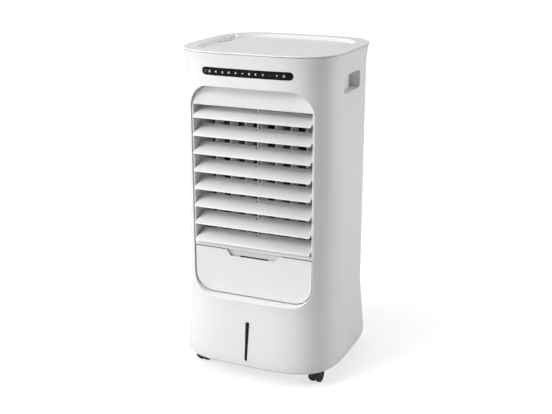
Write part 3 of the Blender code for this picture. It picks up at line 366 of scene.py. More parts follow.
def hose_finish():
    """Silicone hose with faint extrusion lines."""
    made = plastic("hose", (0.74, 0.75, 0.72), 0.38, 0.1)
    made.set("Subsurface Weight", 0.3)
    made.set("Subsurface Radius", (0.004, 0.004, 0.004))
    return made


def icon_finish(name, colour, strength):
    """Printed marks lit from behind, a little uneven."""
    made = Finish(name)
    made.set("Base Color", colour)
    made.set("Roughness", made.remap(made.noise(200.0), 0.3, 0.7, 0.30, 0.45))
    made.set("Emission Color", colour)
    made.set("Emission Strength", made.remap(made.noise(120.0, 3.0), 0.3, 0.7, strength * 0.8, strength))
    return made


FINISHES = {
    "white_shell": shell_finish("white_shell", (0.800, 0.802, 0.806), 0.36),
    "white_insert": plastic("white_insert", (0.805, 0.807, 0.810), 0.40, 0.22, 0.015, 1500.0, 1.02),
    "gloss_lens": gloss_finish("gloss_lens", (0.006, 0.006, 0.007), 0.05),
    "smoked_window": gloss_finish("smoked_window", (0.012, 0.012, 0.014), 0.10),
    "black_plastic": rubber_finish("black_plastic", (0.016, 0.016, 0.017), 0.42),
    "caster_tread": rubber_finish("caster_tread", (0.022, 0.022, 0.023), 0.62),
    "cord_sheath": rubber_finish("cord_sheath", (0.02, 0.02, 0.021), 0.50),
    "dark_plastic": plastic("dark_plastic", (0.085, 0.087, 0.092), 0.48, 0.3, 0.08, 1200.0, 1.5),
    "tank_plastic": tank_finish(),
    "wet_pad": pad_finish(),
    "filter_mesh": mesh_finish(),
    "bright_steel": steel_finish("bright_steel", (0.62, 0.62, 0.63), 0.32),
    "circuit_board": board_finish(),
    "hose": hose_finish(),
}
ICON_LIT = icon_finish("icon_lit", (0.85, 0.88, 0.90), 0.55)
ICON_DIM = icon_finish("icon_dim", (0.16, 0.17, 0.18), 0.02)


# ---------------------------------------------------------------- modelling helpers
def show(obj, name, slot, body, replaces=(), bevel=0.0, segments=3, angle=35.0, finish=None, weighted=True):
    """Names a piece, gives it its finish and soft edges, and puts it on its body."""
    obj.name = name
    obj.data.name = name
    obj.data.transform(Matrix.Translation((0.0, 0.0, BODY_LIFT)))
    obj.data.materials.clear()
    obj.data.materials.append((finish or FINISHES[slot]).material)
    soften(obj, bevel, segments, angle, weighted)
    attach(obj, body)
    if replaces:
        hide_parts(*replaces)
    return obj


def round_edges(obj, width, segments, angle, clamp):
    rounding = obj.modifiers.new("edge_radius", "BEVEL")
    rounding.width = width
    rounding.segments = segments
    rounding.limit_method = "ANGLE"
    rounding.angle_limit = math.radians(angle)
    rounding.use_clamp_overlap = clamp


def soften(obj, bevel, segments=3, angle=35.0, weighted=True):
    obj.data.shade_smooth()
    if bevel:
        round_edges(obj, bevel, segments, angle, False)
    else:
        obj.data.set_sharp_from_angle(angle=math.radians(angle))
    if weighted:
        even = obj.modifiers.new("even_normals", "WEIGHTED_NORMAL")
        even.keep_sharp = True
        even.weight = 80
    return obj


def placed(name, data):
    """A new object in the scene's collection."""
    obj = bpy.data.objects.new(name, data)
    bpy.context.scene.collection.objects.link(obj)
    return obj


@contextmanager
def edited(mesh):
    """A mesh's editable form, written back at the end."""
    shape = bmesh.new()
    shape.from_mesh(mesh)
    yield shape
    shape.to_mesh(mesh)
    shape.free()


def settle(obj):
    """Writes the object's transform and modifiers into its mesh, and returns it at the world origin."""
    bpy.context.view_layer.update()
    evaluated = obj.evaluated_get(bpy.context.evaluated_depsgraph_get())
    mesh = bpy.data.meshes.new_from_object(evaluated)
    mesh.transform(obj.matrix_world)
    made = placed(obj.name, mesh)
    bpy.data.objects.remove(obj)
    return made


def from_data(name, points, faces, recalculate=True):
    mesh = bpy.data.meshes.new(name)
    mesh.from_pydata([tuple(map(float, p)) for p in points], [], faces)
    if recalculate:
        with edited(mesh) as shape:
            bmesh.ops.recalc_face_normals(shape, faces=shape.faces)
    mesh.update()
    return placed(name, mesh)


def weld(obj, distance=1e-6):
    with edited(obj.data) as shape:
        bmesh.ops.remove_doubles(shape, verts=shape.verts, dist=distance)
        bmesh.ops.recalc_face_normals(shape, faces=shape.faces)
    return obj


def boolean(target, other, operation):
    modifier = target.modifiers.new(operation, "BOOLEAN")
    modifier.operation = operation
    modifier.solver = "EXACT"
    modifier.object = other
    made = settle(target)
    bpy.data.objects.remove(other)
    return made


def union(first, *others):
    for other in others:
        first = boolean(first, other, "UNION")
    return first


def cut(first, *others):
    for other in others:
        first = boolean(first, other, "DIFFERENCE")
    return first


def join(first, *others):
    """Several closed bodies in one piece."""
    with edited(first.data) as shape:
        for other in others:
            shape.from_mesh(other.data)
            bpy.data.objects.remove(other)
    return first


def box(low, high):
    low, high = Vector(low), Vector(high)
    corners = [(x, y, z) for z in (low.z, high.z) for y in (low.y, high.y) for x in (low.x, high.x)]
    faces = [(0, 2, 3, 1), (4, 5, 7, 6), (0, 1, 5, 4), (2, 6, 7, 3), (0, 4, 6, 2), (1, 3, 7, 5)]
    return from_data("box", corners, faces, False)


def loft(rings, closed=False):
    """A surface through rings of equally many points; closed joins the last ring to the first."""
    count = len(rings[0])
    points = [point for ring in rings for point in ring]
    faces = []
    pairs = list(zip(range(len(rings) - 1), range(1, len(rings))))
    if closed:
        pairs.append((len(rings) - 1, 0))
    for a, b in pairs:
        for i in range(count):
            j = (i + 1) % count
            faces.append((a * count + i, a * count + j, b * count + j, b * count + i))
    if not closed:
        faces.append(tuple(range(count)))
        faces.append(tuple(range((len(rings) - 1) * count, len(rings) * count)))
    return from_data("loft", points, faces)


def lathe(profile, centre, axis="Z", sides=48):
    """A turned body: profile is (radius, along) points, closed on the axis at both ends or round a hole."""
    rings = []
    for i in range(sides):
        t = 2 * math.pi * i / sides
        ring = []
        for radius, along in profile:
            u, v = radius * math.cos(t), radius * math.sin(t)
            offset = {"X": (along, u, v), "Y": (v, along, u), "Z": (u, v, along)}[axis]
            ring.append(tuple(c + o for c, o in zip(centre, offset)))
        rings.append(ring)
    return weld(loft(rings, closed=True), 1e-7)


def quarter(steps):
    """The sine and cosine of the angles from 0 to 90 degrees."""
    turns = [math.pi / 2 * i / steps for i in range(steps + 1)]
    return [(math.sin(t), math.cos(t)) for t in turns]


def disc_profile(radius, length, edge):
    """A plain turned cylinder with rounded ends, as a closed profile that starts and ends on the axis."""
    near = [(radius - edge + edge * s, edge - edge * c) for s, c in quarter(3)]
    far = [(radius - edge + edge * c, length - edge + edge * s) for s, c in quarter(3)]
    return [(0.0, 0.0), *near, *far, (0.0, length)]


def rod(radius, start, length, axis="X", sides=24, edge=0.0004):
    return lathe(disc_profile(radius, length, edge), start, axis, sides)


def plate(outlines, plane, start, end):
    """A flat plate from closed outlines (the first is its edge, the rest are holes), between two depths."""
    curve = bpy.data.curves.new("outline", "CURVE")
    curve.dimensions = "2D"
    curve.fill_mode = "BOTH"
    curve.extrude = abs(end - start) / 2
    for outline in outlines:
        spline = curve.splines.new("POLY")
        spline.points.add(len(outline) - 1)
        for point, (u, v) in zip(spline.points, outline):
            point.co = (u, v, 0, 1)
        spline.use_cyclic_u = True
    obj = placed("plate", curve)
    turns = {"XY": (0, 0, 0), "XZ": (math.pi / 2, 0, 0), "YZ": (math.pi / 2, 0, math.pi / 2)}
    middle = (start + end) / 2
    obj.rotation_euler = turns[plane]
    obj.location = {"XY": (0, 0, middle), "XZ": (0, middle, 0), "YZ": (middle, 0, 0)}[plane]
    return tidy_plate(weld(settle(obj)))


def tidy_plate(obj, pierced=False):
    """Turns the triangles of a plate's faces into few large faces, so that its edges take a clean radius.

    A pierced plate goes back to triangles, which cannot close over its holes.
    """
    flat = math.radians(0.5)
    with edited(obj.data) as shape:
        bmesh.ops.dissolve_limit(shape, angle_limit=flat, verts=[], edges=shape.edges, delimit={"NORMAL"})
        if pierced:
            large = [face for face in shape.faces if len(face.verts) > 4]
            bmesh.ops.triangulate(shape, faces=large, quad_method="BEAUTY", ngon_method="BEAUTY")
    return obj


def smooth_path(points, steps=6):
    """A rounded path through points (Catmull-Rom)."""
    points = [Vector(p) for p in points]
    padded = [points[0] * 2 - points[1]] + points + [points[-1] * 2 - points[-2]]
    path = []
    for a, b, c, d in zip(padded, padded[1:], padded[2:], padded[3:]):
        for i in range(steps):
            t = i / steps
            square, cube = 2 * a - 5 * b + 4 * c - d, 3 * b - a - 3 * c + d
            path.append(0.5 * (2 * b + (c - a) * t + square * t**2 + cube * t**3))
    return path + [points[-1]]


def tube(points, radius, sides):
    """A round hose or cord along points, its section carried without twist."""
    points = [Vector(p) for p in points]
    tangents = []
    for i in range(len(points)):
        ahead, behind = points[min(i + 1, len(points) - 1)], points[max(i - 1, 0)]
        tangents.append((ahead - behind).normalized())
    across = tangents[0].orthogonal().normalized()
    rings = []
    for point, tangent in zip(points, tangents):
        across = (across - tangent * across.dot(tangent)).normalized()
        other = tangent.cross(across)
        turns = [2 * math.pi * k / sides for k in range(sides)]
        rings.append([point + radius * (across * math.cos(t) + other * math.sin(t)) for t in turns])
    return loft(rings)


def rectangle(u0, v0, u1, v1):
    return [(u0, v0), (u1, v0), (u1, v1), (u0, v1)]


def circle(u, v, radius, sides=32):
    turns = [2 * math.pi * i / sides for i in range(sides)]
    return [(u + radius * math.cos(t), v + radius * math.sin(t)) for t in turns]


def arc(u, v, radius, start, end, steps=10):
    turns = [math.radians(start + (end - start) * i / steps) for i in range(steps + 1)]
    return [(u + radius * math.cos(t), v + radius * math.sin(t)) for t in turns]


def rounded_outline(half_width, bottom, top, bottom_radius, top_radius, steps=12):
    corners = (
        (half_width - bottom_radius, bottom + bottom_radius, bottom_radius, -90),
        (half_width - top_radius, top - top_radius, top_radius, 0),
        (-half_width + top_radius, top - top_radius, top_radius, 90),
        (-half_width + bottom_radius, bottom + bottom_radius, bottom_radius, 180),
    )
    points = []
    for u, v, radius, start in corners:
        points += arc(u, v, radius, start, start + 90, steps)
    return points


# ---------------------------------------------------------------- the body's form
def base_share(z):
    """0 in the waist, 1 where the base is widest."""
    t = np.clip((BASE_BLEND_TOP - z) / (BASE_BLEND_TOP - BASE_TOP), 0.0, 1.0)
    rise = np.where(t < BASE_CREASE, t * t / (2 * BASE_CREASE), t - BASE_CREASE / 2)
    return rise / (1 - BASE_CREASE / 2)


def spread(z, grow=0.0):
    """How far the body stands out from its waist at height z, offset by grow."""
    rise = np.clip((z - NECK_Z) / (RIM_Z - NECK_Z), 0.0, 1.0)
    up = np.maximum(0.0, BODY_BOTTOM + EDGE_RADIUS - z)
    radius = EDGE_RADIUS + grow
    edge = radius - np.sqrt(np.maximum(0.0, radius**2 - up**2))
    return BASE_FLARE * base_share(z) + RIM_FLARE * rise**2 - edge + grow


def half_sizes(z, grow, front):
    """The plan's half width and half depth at height z; front says which points are on the front half."""
    out = spread(z, grow)
    return HALF_WIDTH + out, HALF_DEPTH + out + np.where(front, FRONT_BULGE * base_share(z), 0.0)


def power(value, exponent):
    return np.sign(value) * np.abs(value) ** exponent


SEAM = 2.82  # the angle where the unrolled surface starts, on the left side behind the hand hold
TURN = np.linspace(SEAM, SEAM + 2 * math.pi, 24001)
UNIT_X, UNIT_Y = power(np.cos(TURN), 2 / POWER), power(np.sin(TURN), 2 / POWER)
ROUND = np.concatenate(
    [[0.0], np.cumsum(np.hypot(np.diff(UNIT_X) * HALF_WIDTH, np.diff(UNIT_Y) * HALF_DEPTH))]
)
COLUMNS = np.linspace(0.0, ROUND[-1], 385)[:-1]


def body_points(w, z, grow=0.0):
    """Points of the body's surface from the distance round the plan and the height."""
    w, z = np.asarray(w, float), np.asarray(z, float)
    unit_x, unit_y = np.interp(w, ROUND, UNIT_X), np.interp(w, ROUND, UNIT_Y)
    a, b = half_sizes(z, grow, unit_y < 0)
    return np.stack([a * unit_x, b * unit_y, z + 0 * w], axis=-1)


def body_normals(w, z, grow=0.0):
    step = 2e-4
    along = body_points(w + step, z, grow) - body_points(w - step, z, grow)
    up = body_points(w, z + step, grow) - body_points(w, z - step, grow)
    normals = np.cross(along, up)
    return normals / np.linalg.norm(normals, axis=-1, keepdims=True)


class Side:
    """One side of the body over a flat picture plane: (u, z) to depth, and to the distance round."""

    def __init__(self, axis, sign):
        self.axis, self.sign = axis, sign
        middle = {("y", -1): 1.5, ("y", 1): 2.5, ("x", 1): 2.0, ("x", -1): 1.0}[axis, sign] * math.pi
        near = np.abs(TURN - middle) < math.pi / 2 - 0.02
        unit = (UNIT_X if axis == "y" else UNIT_Y)[near]
        order = np.argsort(unit)
        self.unit, self.round = unit[order], ROUND[near][order]

    def sizes(self, u, z, grow):
        front = np.asarray(u) < 0 if self.axis == "x" else np.full(np.shape(u), self.sign < 0)
        a, b = half_sizes(z, grow, front)
        return (a, b) if self.axis == "y" else (b, a)

    def depth(self, u, z):
        across, out = self.sizes(u, z, 0.0)
        return self.sign * out * (1 - np.minimum(1.0, np.abs(u) / across) ** POWER) ** (1 / POWER)

    def around(self, u, z, grow=0.0):
        across, _ = self.sizes(u, z, grow)
        return np.interp(u / across, self.unit, self.round)

    def points(self, outline, inward=0.0, at=None):
        """3-D points of a flat outline, sunk inward from the surface, or at one depth."""
        u, z = np.array(outline, float).T
        d = self.depth(u, z) - self.sign * inward if at is None else np.full(len(u), float(at))
        return np.stack([u, d, z], -1) if self.axis == "y" else np.stack([d, u, z], -1)


FRONT, BACK, RIGHT, LEFT = Side("y", -1), Side("y", 1), Side("x", 1), Side("x", -1)


def loops(shape, offsets, step=0.006):
    """shape(offset) for several offsets, each with equally many points, none much further apart than step."""
    base = shape(0.0)
    ends = base[1:] + base[:1]
    counts = [max(1, round(math.dist(a, b) / step)) for a, b in zip(base, ends)]
    made = []
    for offset in offsets:
        points = shape(offset)
        loop = []
        for a, b, count in zip(points, points[1:] + points[:1], counts):
            for i in range(count):
                loop.append((a[0] + (b[0] - a[0]) * i / count, a[1] + (b[1] - a[1]) * i / count))
        made.append(loop)
    return made


def inside(points, polygon):
    """Which points lie in a polygon."""
    points, polygon = np.asarray(points, float), np.asarray(polygon, float)
    x, y = points[:, 0][:, None], points[:, 1][:, None]
    x0, y0 = polygon.T
    x1, y1 = np.roll(polygon, -1, 0).T
    crosses = (y0 > y) != (y1 > y)
    rise = np.where(y1 == y0, 1.0, y1 - y0)
    return (crosses & (x < (x1 - x0) * (y - y0) / rise + x0)).sum(1) % 2 == 1


class Shell:
    """A mesh in the making, with exact normals for the points of its curved skins."""

    def __init__(self):
        self.points, self.faces, self.normals = [], [], {}

    def add(self, points):
        start = len(self.points)
        self.points += [tuple(map(float, p)) for p in points]
        return list(range(start, len(self.points)))

    def bridge(self, first, second):
        for i in range(len(first)):
            j = (i + 1) % len(first)
            self.faces.append((first[i], first[j], second[j], second[i]))

    def run(self, loop, *rings):
        """Joins ring after ring to a loop and returns the last."""
        for ring in rings:
            made = self.add(ring)
            self.bridge(loop, made)
            loop = made
        return loop

    def fill(self, loop):
        self.faces.append(tuple(loop))

    def skin(self, heights, grow, holes, outward=1.0):
        """The body's surface between heights, with holes given as (distance round, height) outlines."""
        heights = np.asarray(heights, float)
        rows, cols = len(heights), len(COLUMNS)
        w, z = np.meshgrid(COLUMNS, heights)
        flat = np.stack([w.ravel(), z.ravel()], -1)
        flagged = np.zeros((rows - 1, cols), bool)
        margin = 0.003
        for hole in holes:
            low, high = np.min(hole, 0) - margin, np.max(hole, 0) + margin
            r0, r1 = np.searchsorted(heights, low[1]) - 1, np.searchsorted(heights, high[1])
            c0, c1 = np.searchsorted(COLUMNS, low[0]) - 1, np.searchsorted(COLUMNS, high[0])
            flagged[max(r0, 0) : r1, c0:c1] = True
        padded = np.zeros((rows + 1, cols), bool)
        padded[1:-1] = flagged
        around = [padded[:-1], padded[1:], np.roll(padded[:-1], 1, 1), np.roll(padded[1:], 1, 1)]
        touched, buried = np.any(around, 0).ravel(), np.all(around, 0).ravel()
        drop = np.zeros(len(flat), bool)
        candidates = np.flatnonzero(buried)
        for hole in holes:
            hole = np.asarray(hole)
            near = np.linalg.norm(flat[candidates][:, None] - hole[None], axis=-1).min(1) < 0.0016
            drop[candidates[inside(flat[candidates], hole) | near]] = True
        grid = np.full(len(flat), -1)
        kept = np.flatnonzero(~drop)
        grid[kept] = self.add(body_points(flat[kept, 0], flat[kept, 1], grow))
        local = np.flatnonzero(touched & ~drop)
        position = {g: i for i, g in enumerate(local)}
        coords = [tuple(p) for p in flat[local]]
        names = [int(grid[g]) for g in local]
        edges = []
        for r in range(rows - 1):
            for c in range(cols):
                d = (c + 1) % cols
                corners = (r * cols + c, r * cols + d, (r + 1) * cols + d, (r + 1) * cols + c)
                if not flagged[r, c]:
                    self.faces.append(tuple(int(grid[k]) for k in corners))
                    continue
                if r == 0 or not flagged[r - 1, c]:
                    edges.append((position[corners[0]], position[corners[1]]))
                if r == rows - 2 or not flagged[r + 1, c]:
                    edges.append((position[corners[3]], position[corners[2]]))
                if not flagged[r, c - 1]:
                    edges.append((position[corners[0]], position[corners[3]]))
                if not flagged[r, d]:
                    edges.append((position[corners[1]], position[corners[2]]))
        rims = []
        for hole in holes:
            hole = np.asarray(hole)
            rim = self.add(body_points(hole[:, 0], hole[:, 1], grow))
            start = len(coords)
            coords += [tuple(p) for p in hole]
            names += rim
            edges += [(start + i, start + (i + 1) % len(rim)) for i in range(len(rim))]
            rims.append(rim)
        found, _, triangles, origin, _, _ = delaunay_2d_cdt(
            [Vector(c) for c in coords], edges, [], 0, 1e-7
        )
        centres = np.array([np.mean([found[i] for i in face], 0) for face in triangles])
        row = np.clip(np.searchsorted(heights, centres[:, 1]) - 1, 0, rows - 2)
        column = np.clip(np.searchsorted(COLUMNS, centres[:, 0]) - 1, 0, cols - 1)
        keep = flagged[row, column]
        for hole in holes:
            keep &= ~inside(centres, hole)
        for face, wanted in zip(triangles, keep):
            if wanted:
                self.faces.append(tuple(names[origin[i][0]] for i in face))
        exact = body_normals(flat[kept, 0], flat[kept, 1], grow) * outward
        self.normals.update({int(g): n for g, n in zip(grid[kept], exact)})
        for hole, rim in zip(holes, rims):
            hole = np.asarray(hole)
            exact = body_normals(hole[:, 0], hole[:, 1], grow) * outward
            self.normals.update(dict(zip(rim, exact)))
        bottom = [int(k) for k in grid[:cols]]
        top = [int(k) for k in grid[-cols:]]
        return bottom, top, rims

    def build(self, name, angle=40.0):
        obj = from_data(name, self.points, self.faces)
        mesh = obj.data
        mesh.shade_smooth()
        mesh.set_sharp_from_angle(angle=math.radians(angle))
        if self.normals:
            corners = np.zeros(len(mesh.loops) * 3, np.float32)
            mesh.corner_normals.foreach_get("vector", corners)
            corners = corners.reshape(-1, 3)
            owner = np.zeros(len(mesh.loops), np.int32)
            mesh.loops.foreach_get("vertex_index", owner)
            exact = np.zeros((len(mesh.vertices), 3), np.float32)
            for index, normal in self.normals.items():
                exact[index] = normal
            close = np.einsum("ij,ij->i", corners, exact[owner]) > math.cos(math.radians(30))
            corners[close] = exact[owner][close]
            mesh.normals_split_custom_set(corners)
        return obj


# ---------------------------------------------------------------- outlines shared by the pieces
def opening_outline(grow):
    low, high = OPENING_BOTTOM_RADIUS + grow, OPENING_TOP_RADIUS + grow
    return rounded_outline(OPENING_HALF + grow, OPENING_BOTTOM - grow, OPENING_TOP + grow, low, high, 18)


def strip_outline(grow):
    radius = STRIP_HEIGHT / 2 + grow
    turned = radius * 0.999
    return rounded_outline(STRIP_HALF + grow, STRIP_Z - radius, STRIP_Z + radius, turned, turned, 10)


def window_outline(grow):
    """A slot that narrows downward, with rounded ends."""
    top_half, bottom_half = 0.0047, 0.0029
    top = arc(0.0, WINDOW_HIGH.z - top_half, top_half + grow, 0, 180, 12)
    return top + arc(0.0, WINDOW_LOW.z + bottom_half, bottom_half + grow, 180, 360, 12)


def grip_outline(grow):
    radius = 0.0080 + grow
    shape = rounded_outline(GRIP_HALF + grow, GRIP_BOTTOM - grow, GRIP_TOP + grow, radius, radius, 8)
    return [(u + GRIP_Y, v) for u, v in shape]


def back_outline(grow):
    radius = BACK_RADIUS + grow
    return rounded_outline(BACK_HALF + grow, BACK_BOTTOM - grow, BACK_TOP + grow, radius, radius, 12)


def flat_ring(z, grow):
    """The waist's plan at any height, offset by grow."""
    unit_x, unit_y = np.interp(COLUMNS, ROUND, UNIT_X), np.interp(COLUMNS, ROUND, UNIT_Y)
    x, y = (HALF_WIDTH + grow) * unit_x, (HALF_DEPTH + grow) * unit_y
    return np.stack([x, y, np.full(len(x), z)], -1)


# ---------------------------------------------------------------- housing
def hole_edge(side, shape, gap, radius):
    """Rings that turn from the skin into a hole's wall; the first lies on the skin."""
    offsets = [gap + radius * (1 - s) for s, _ in quarter(5)]
    depths = [radius * (1 - c) for _, c in quarter(5)]
    outlines = loops(shape, offsets)
    return outlines[0], [side.points(o, d) for o, d in zip(outlines[1:], depths[1:])]


def unrolled(side, outline, grow=0.0):
    u, z = np.array(outline, float).T
    return np.stack([side.around(u, z, grow), z], -1)


def make_housing():
    shell = Shell()
    holes = (
        (FRONT, opening_outline, 0.0, 0.0022, FLANGE_BACK_Y, FLANGE),
        (BACK, back_outline, 0.0, 0.0020, 0.140, FLANGE),
        (FRONT, strip_outline, 0.0005, 0.0004, None, 0.0005),
        (FRONT, window_outline, 0.0004, 0.0004, None, 0.0004),
        (RIGHT, grip_outline, 0.0, 0.0016, GRIP_FLOOR_X, 0.0022),
        (LEFT, grip_outline, 0.0, 0.0016, -GRIP_FLOOR_X, 0.0022),
    )
    turns = [math.radians(a) for a in (90, 78, 66, 54, 42, 30, 15)]
    lower = [BODY_BOTTOM + EDGE_RADIUS * (1 - math.sin(t)) for t in turns]
    heights = [*lower, *np.linspace(0.034, 0.160, 22), *np.linspace(0.163, 0.187, 13)]
    heights += [*np.linspace(0.196, 0.738, 30), 0.7435, *np.linspace(NECK_Z, RIM_Z - 0.0006, 17)]
    outer_edges = [hole_edge(side, shape, gap, radius) for side, shape, gap, radius, _, _ in holes]
    flat = [unrolled(hole[0], edge[0]) for hole, edge in zip(holes, outer_edges)]
    bottom, top, outer = shell.skin(heights, 0.0, flat)
    inner_turns = [math.radians(a) for a in (90, 60, 30)]
    inner_low = [0.034 - (EDGE_RADIUS - WALL) * math.sin(t) for t in inner_turns]
    inner_heights = [*inner_low, *np.linspace(0.034, 0.185, 12), *np.linspace(0.20, 0.738, 18)]
    inner_heights += [*np.linspace(NECK_Z, RIM_Z - 0.0006, 7)]
    inner_loops = [loops(hole[1], [hole[5]])[0] for hole in holes]
    flat = [unrolled(hole[0], loop, -WALL) for hole, loop in zip(holes, inner_loops)]
    inner_bottom, inner_top, inner = shell.skin(inner_heights, -WALL, flat, -1.0)
    shell.bridge(bottom, inner_bottom)
    rim_heights = np.full(len(COLUMNS), RIM_Z - 0.0006)
    rim_section = ((-0.0001, 0.0003), (-0.0005, 0.0006), (-0.0025, 0.0006))
    rim_rings = [body_points(COLUMNS, rim_heights, grow) + (0, 0, rise) for grow, rise in rim_section]
    shell.bridge(shell.run(top, *rim_rings), inner_top)
    for hole, edge, start, end in zip(holes, outer_edges, outer, inner):
        side, shape, gap, _, depth, flange = hole
        wall = shell.run(start, *edge[1])
        if depth is None:
            shell.bridge(wall, end)
        elif shape is grip_outline:
            shell.fill(shell.run(wall, *pocket_rings(side, depth, 0.0, 0.005)))
            shell.fill(shell.run(end, *pocket_rings(side, depth - side.sign * 0.0022, flange, 0.006)))
        else:
            plain, wide = loops(shape, [gap, flange])
            far = shell.run(wall, side.points(plain, at=depth), side.points(wide, at=depth))
            shell.bridge(far, end)
    obj = shell.build("housing_shell")
    return show(obj, "housing_shell", "white_shell", "cabinet", ["housing"], angle=40.0, weighted=False)


def pocket_rings(side, floor, grow, radius):
    """The wall and rounded floor of a hand hold."""
    rings = []
    for s, c in quarter(5):
        outline = loops(grip_outline, [grow - radius * (1 - c)])[0]
        rings.append(side.points(outline, at=floor + side.sign * radius * (1 - s)))
    return rings


# ---------------------------------------------------------------- top cover, lid and ice tray
def blend_profile(points, steps=5):
    """A smooth curve through (offset, z) points."""
    return [(p.x, p.y) for p in smooth_path([(a, b, 0.0) for a, b in points], steps)]


def rounded_profile(corners, steps=4):
    """Profile points from (offset, z, radius) corners, each inner corner turned with its radius."""
    profile = []
    for i, (x, y, radius) in enumerate(corners):
        if radius == 0.0:
            profile.append((x, y))
            continue
        here = Vector((x, y))
        before = (Vector(corners[i - 1][:2]) - here).normalized()
        after = (Vector(corners[i + 1][:2]) - here).normalized()
        half = before.angle(after) / 2
        reach = radius / math.tan(half)
        middle = here + (before + after).normalized() * radius / math.sin(half)
        first, last = here + before * reach - middle, here + after * reach - middle
        sweep = math.atan2(first.x * last.y - first.y * last.x, first.dot(last))
        for k in range(steps + 1):
            turn = sweep * k / steps
            c, s = math.cos(turn), math.sin(turn)
            profile.append((middle.x + c * first.x - s * first.y, middle.y + s * first.x + c * first.y))
    return profile


def sweep_profile(profile):
    """A closed band whose section is (offset, z) points, all the way round the plan."""
    return loft([[tuple(p) for p in flat_ring(z, grow)] for grow, z in profile], closed=True)


def scoop_form(grow):
    """The long finger scoop beside the lid's free edge, as a solid offset by grow."""
    segments, rings = 64, 32
    points, faces = [], []
    for i in range(1, rings):
        polar = math.pi * i / rings
        for k in range(segments):
            t = 2 * math.pi * k / segments
            unit = (math.sin(polar) * math.cos(t), math.sin(polar) * math.sin(t), math.cos(polar))
            points.append([c + (r + grow) * u for c, r, u in zip(SCOOP_CENTRE, SCOOP_RADII, unit)])
    top, low = len(points), len(points) + 1
    points.append([SCOOP_CENTRE[0], SCOOP_CENTRE[1], SCOOP_CENTRE[2] + SCOOP_RADII[2] + grow])
    points.append([SCOOP_CENTRE[0], SCOOP_CENTRE[1], SCOOP_CENTRE[2] - SCOOP_RADII[2] - grow])
    for i in range(rings - 2):
        for k in range(segments):
            j = (k + 1) % segments
            faces.append((i * segments + k, i * segments + j, (i + 1) * segments + j, (i + 1) * segments + k))
    for k in range(segments):
        j = (k + 1) % segments
        faces.append((top, j, k))
        faces.append((low, (rings - 2) * segments + k, (rings - 2) * segments + j))
    return from_data("scoop", points, faces)


def make_top_cover():
    outer = blend_profile(
        [
            (RIM_FLARE - 0.0004, RIM_Z + 0.0010),
            (RIM_FLARE + 0.0002, RIM_Z + 0.0014),
            (RIM_FLARE + 0.0002, RIM_Z + 0.0024),
            (RIM_FLARE - 0.0006, RIM_Z + 0.0037),
            (RIM_FLARE - 0.0026, RIM_Z + 0.0046),
            (RIM_FLARE - 0.0080, COVER_HIGH.z - 0.0001),
            (RIM_FLARE - 0.0130, COVER_HIGH.z),
        ],
        5,
    )
    inner = rounded_profile(
        [
            (RIM_FLARE - 0.0150, COVER_HIGH.z, 0.0),
            (-0.0254, COVER_HIGH.z, 0.0022),
            (-0.0340, 0.7985, 0.0010),
            (-0.0345, 0.7985, 0.0),
            (-0.0345, 0.7950, 0.0),
            (-0.0460, 0.7950, 0.0004),
            (-0.0460, 0.7936, 0.0004),
            (-0.0056, 0.7936, 0.0),
            (-0.0056, 0.7840, 0.0004),
            (-0.0036, 0.7840, 0.0004),
            (-0.0036, RIM_Z + 0.0008, 0.0),
            (RIM_FLARE - 0.0010, RIM_Z + 0.0010, 0.0),
        ]
    )
    cover = sweep_profile(outer + inner)
    below_rim = loft([flat_ring(0.78, -0.01), flat_ring(0.8008, -0.01)])
    pocket = boolean(scoop_form(0.0015), below_rim, "INTERSECT")
    cover = cut(union(cover, pocket), scoop_form(0.0))
    return show(cover, "top_cover_moulding", "white_shell", "cabinet", ["top_cover"], angle=32.0)


def make_top_lid():
    """The lid, with a soft edge, a rib underneath and a bite for the finger scoop."""
    high = drawn_box("top_lid")[1]
    edge = 0.0007
    rings = [flat_ring(0.7936, -0.0530), flat_ring(0.7954, -0.0530), flat_ring(0.7954, -0.0355)]
    rings += [flat_ring(high.z - edge + edge * s, -0.0352 - edge + edge * c) for s, c in quarter(4)]
    rings.append(flat_ring(high.z, -0.0400))
    rings.append(flat_ring(high.z, -0.0700))
    lid = loft(rings)
    lid = cut(lid, loft([flat_ring(0.789, -0.0550), flat_ring(0.7954, -0.0550)]), scoop_form(0.0022))
    return show(lid, "top_lid_panel", "white_shell", "top_lid", ["top_lid"], angle=32.0)


def make_ice_tray():
    outer = box((-0.105, -0.085, 0.7400), (0.105, 0.085, 0.7925))
    inner = box((-0.103, -0.083, 0.7420), (0.103, 0.083, 0.80))
    lip = loft([flat_ring(0.7912, -0.0400), flat_ring(0.7932, -0.0400)])
    drain = rod(0.004, (0, 0.06, 0.73), 0.03, "Z")
    tray = cut(union(outer, lip), inner, drain, scoop_form(0.0022))
    return show(tray, "ice_tray_moulding", "white_insert", "cabinet", ["ice_tray"], bevel=0.0004, segments=2)


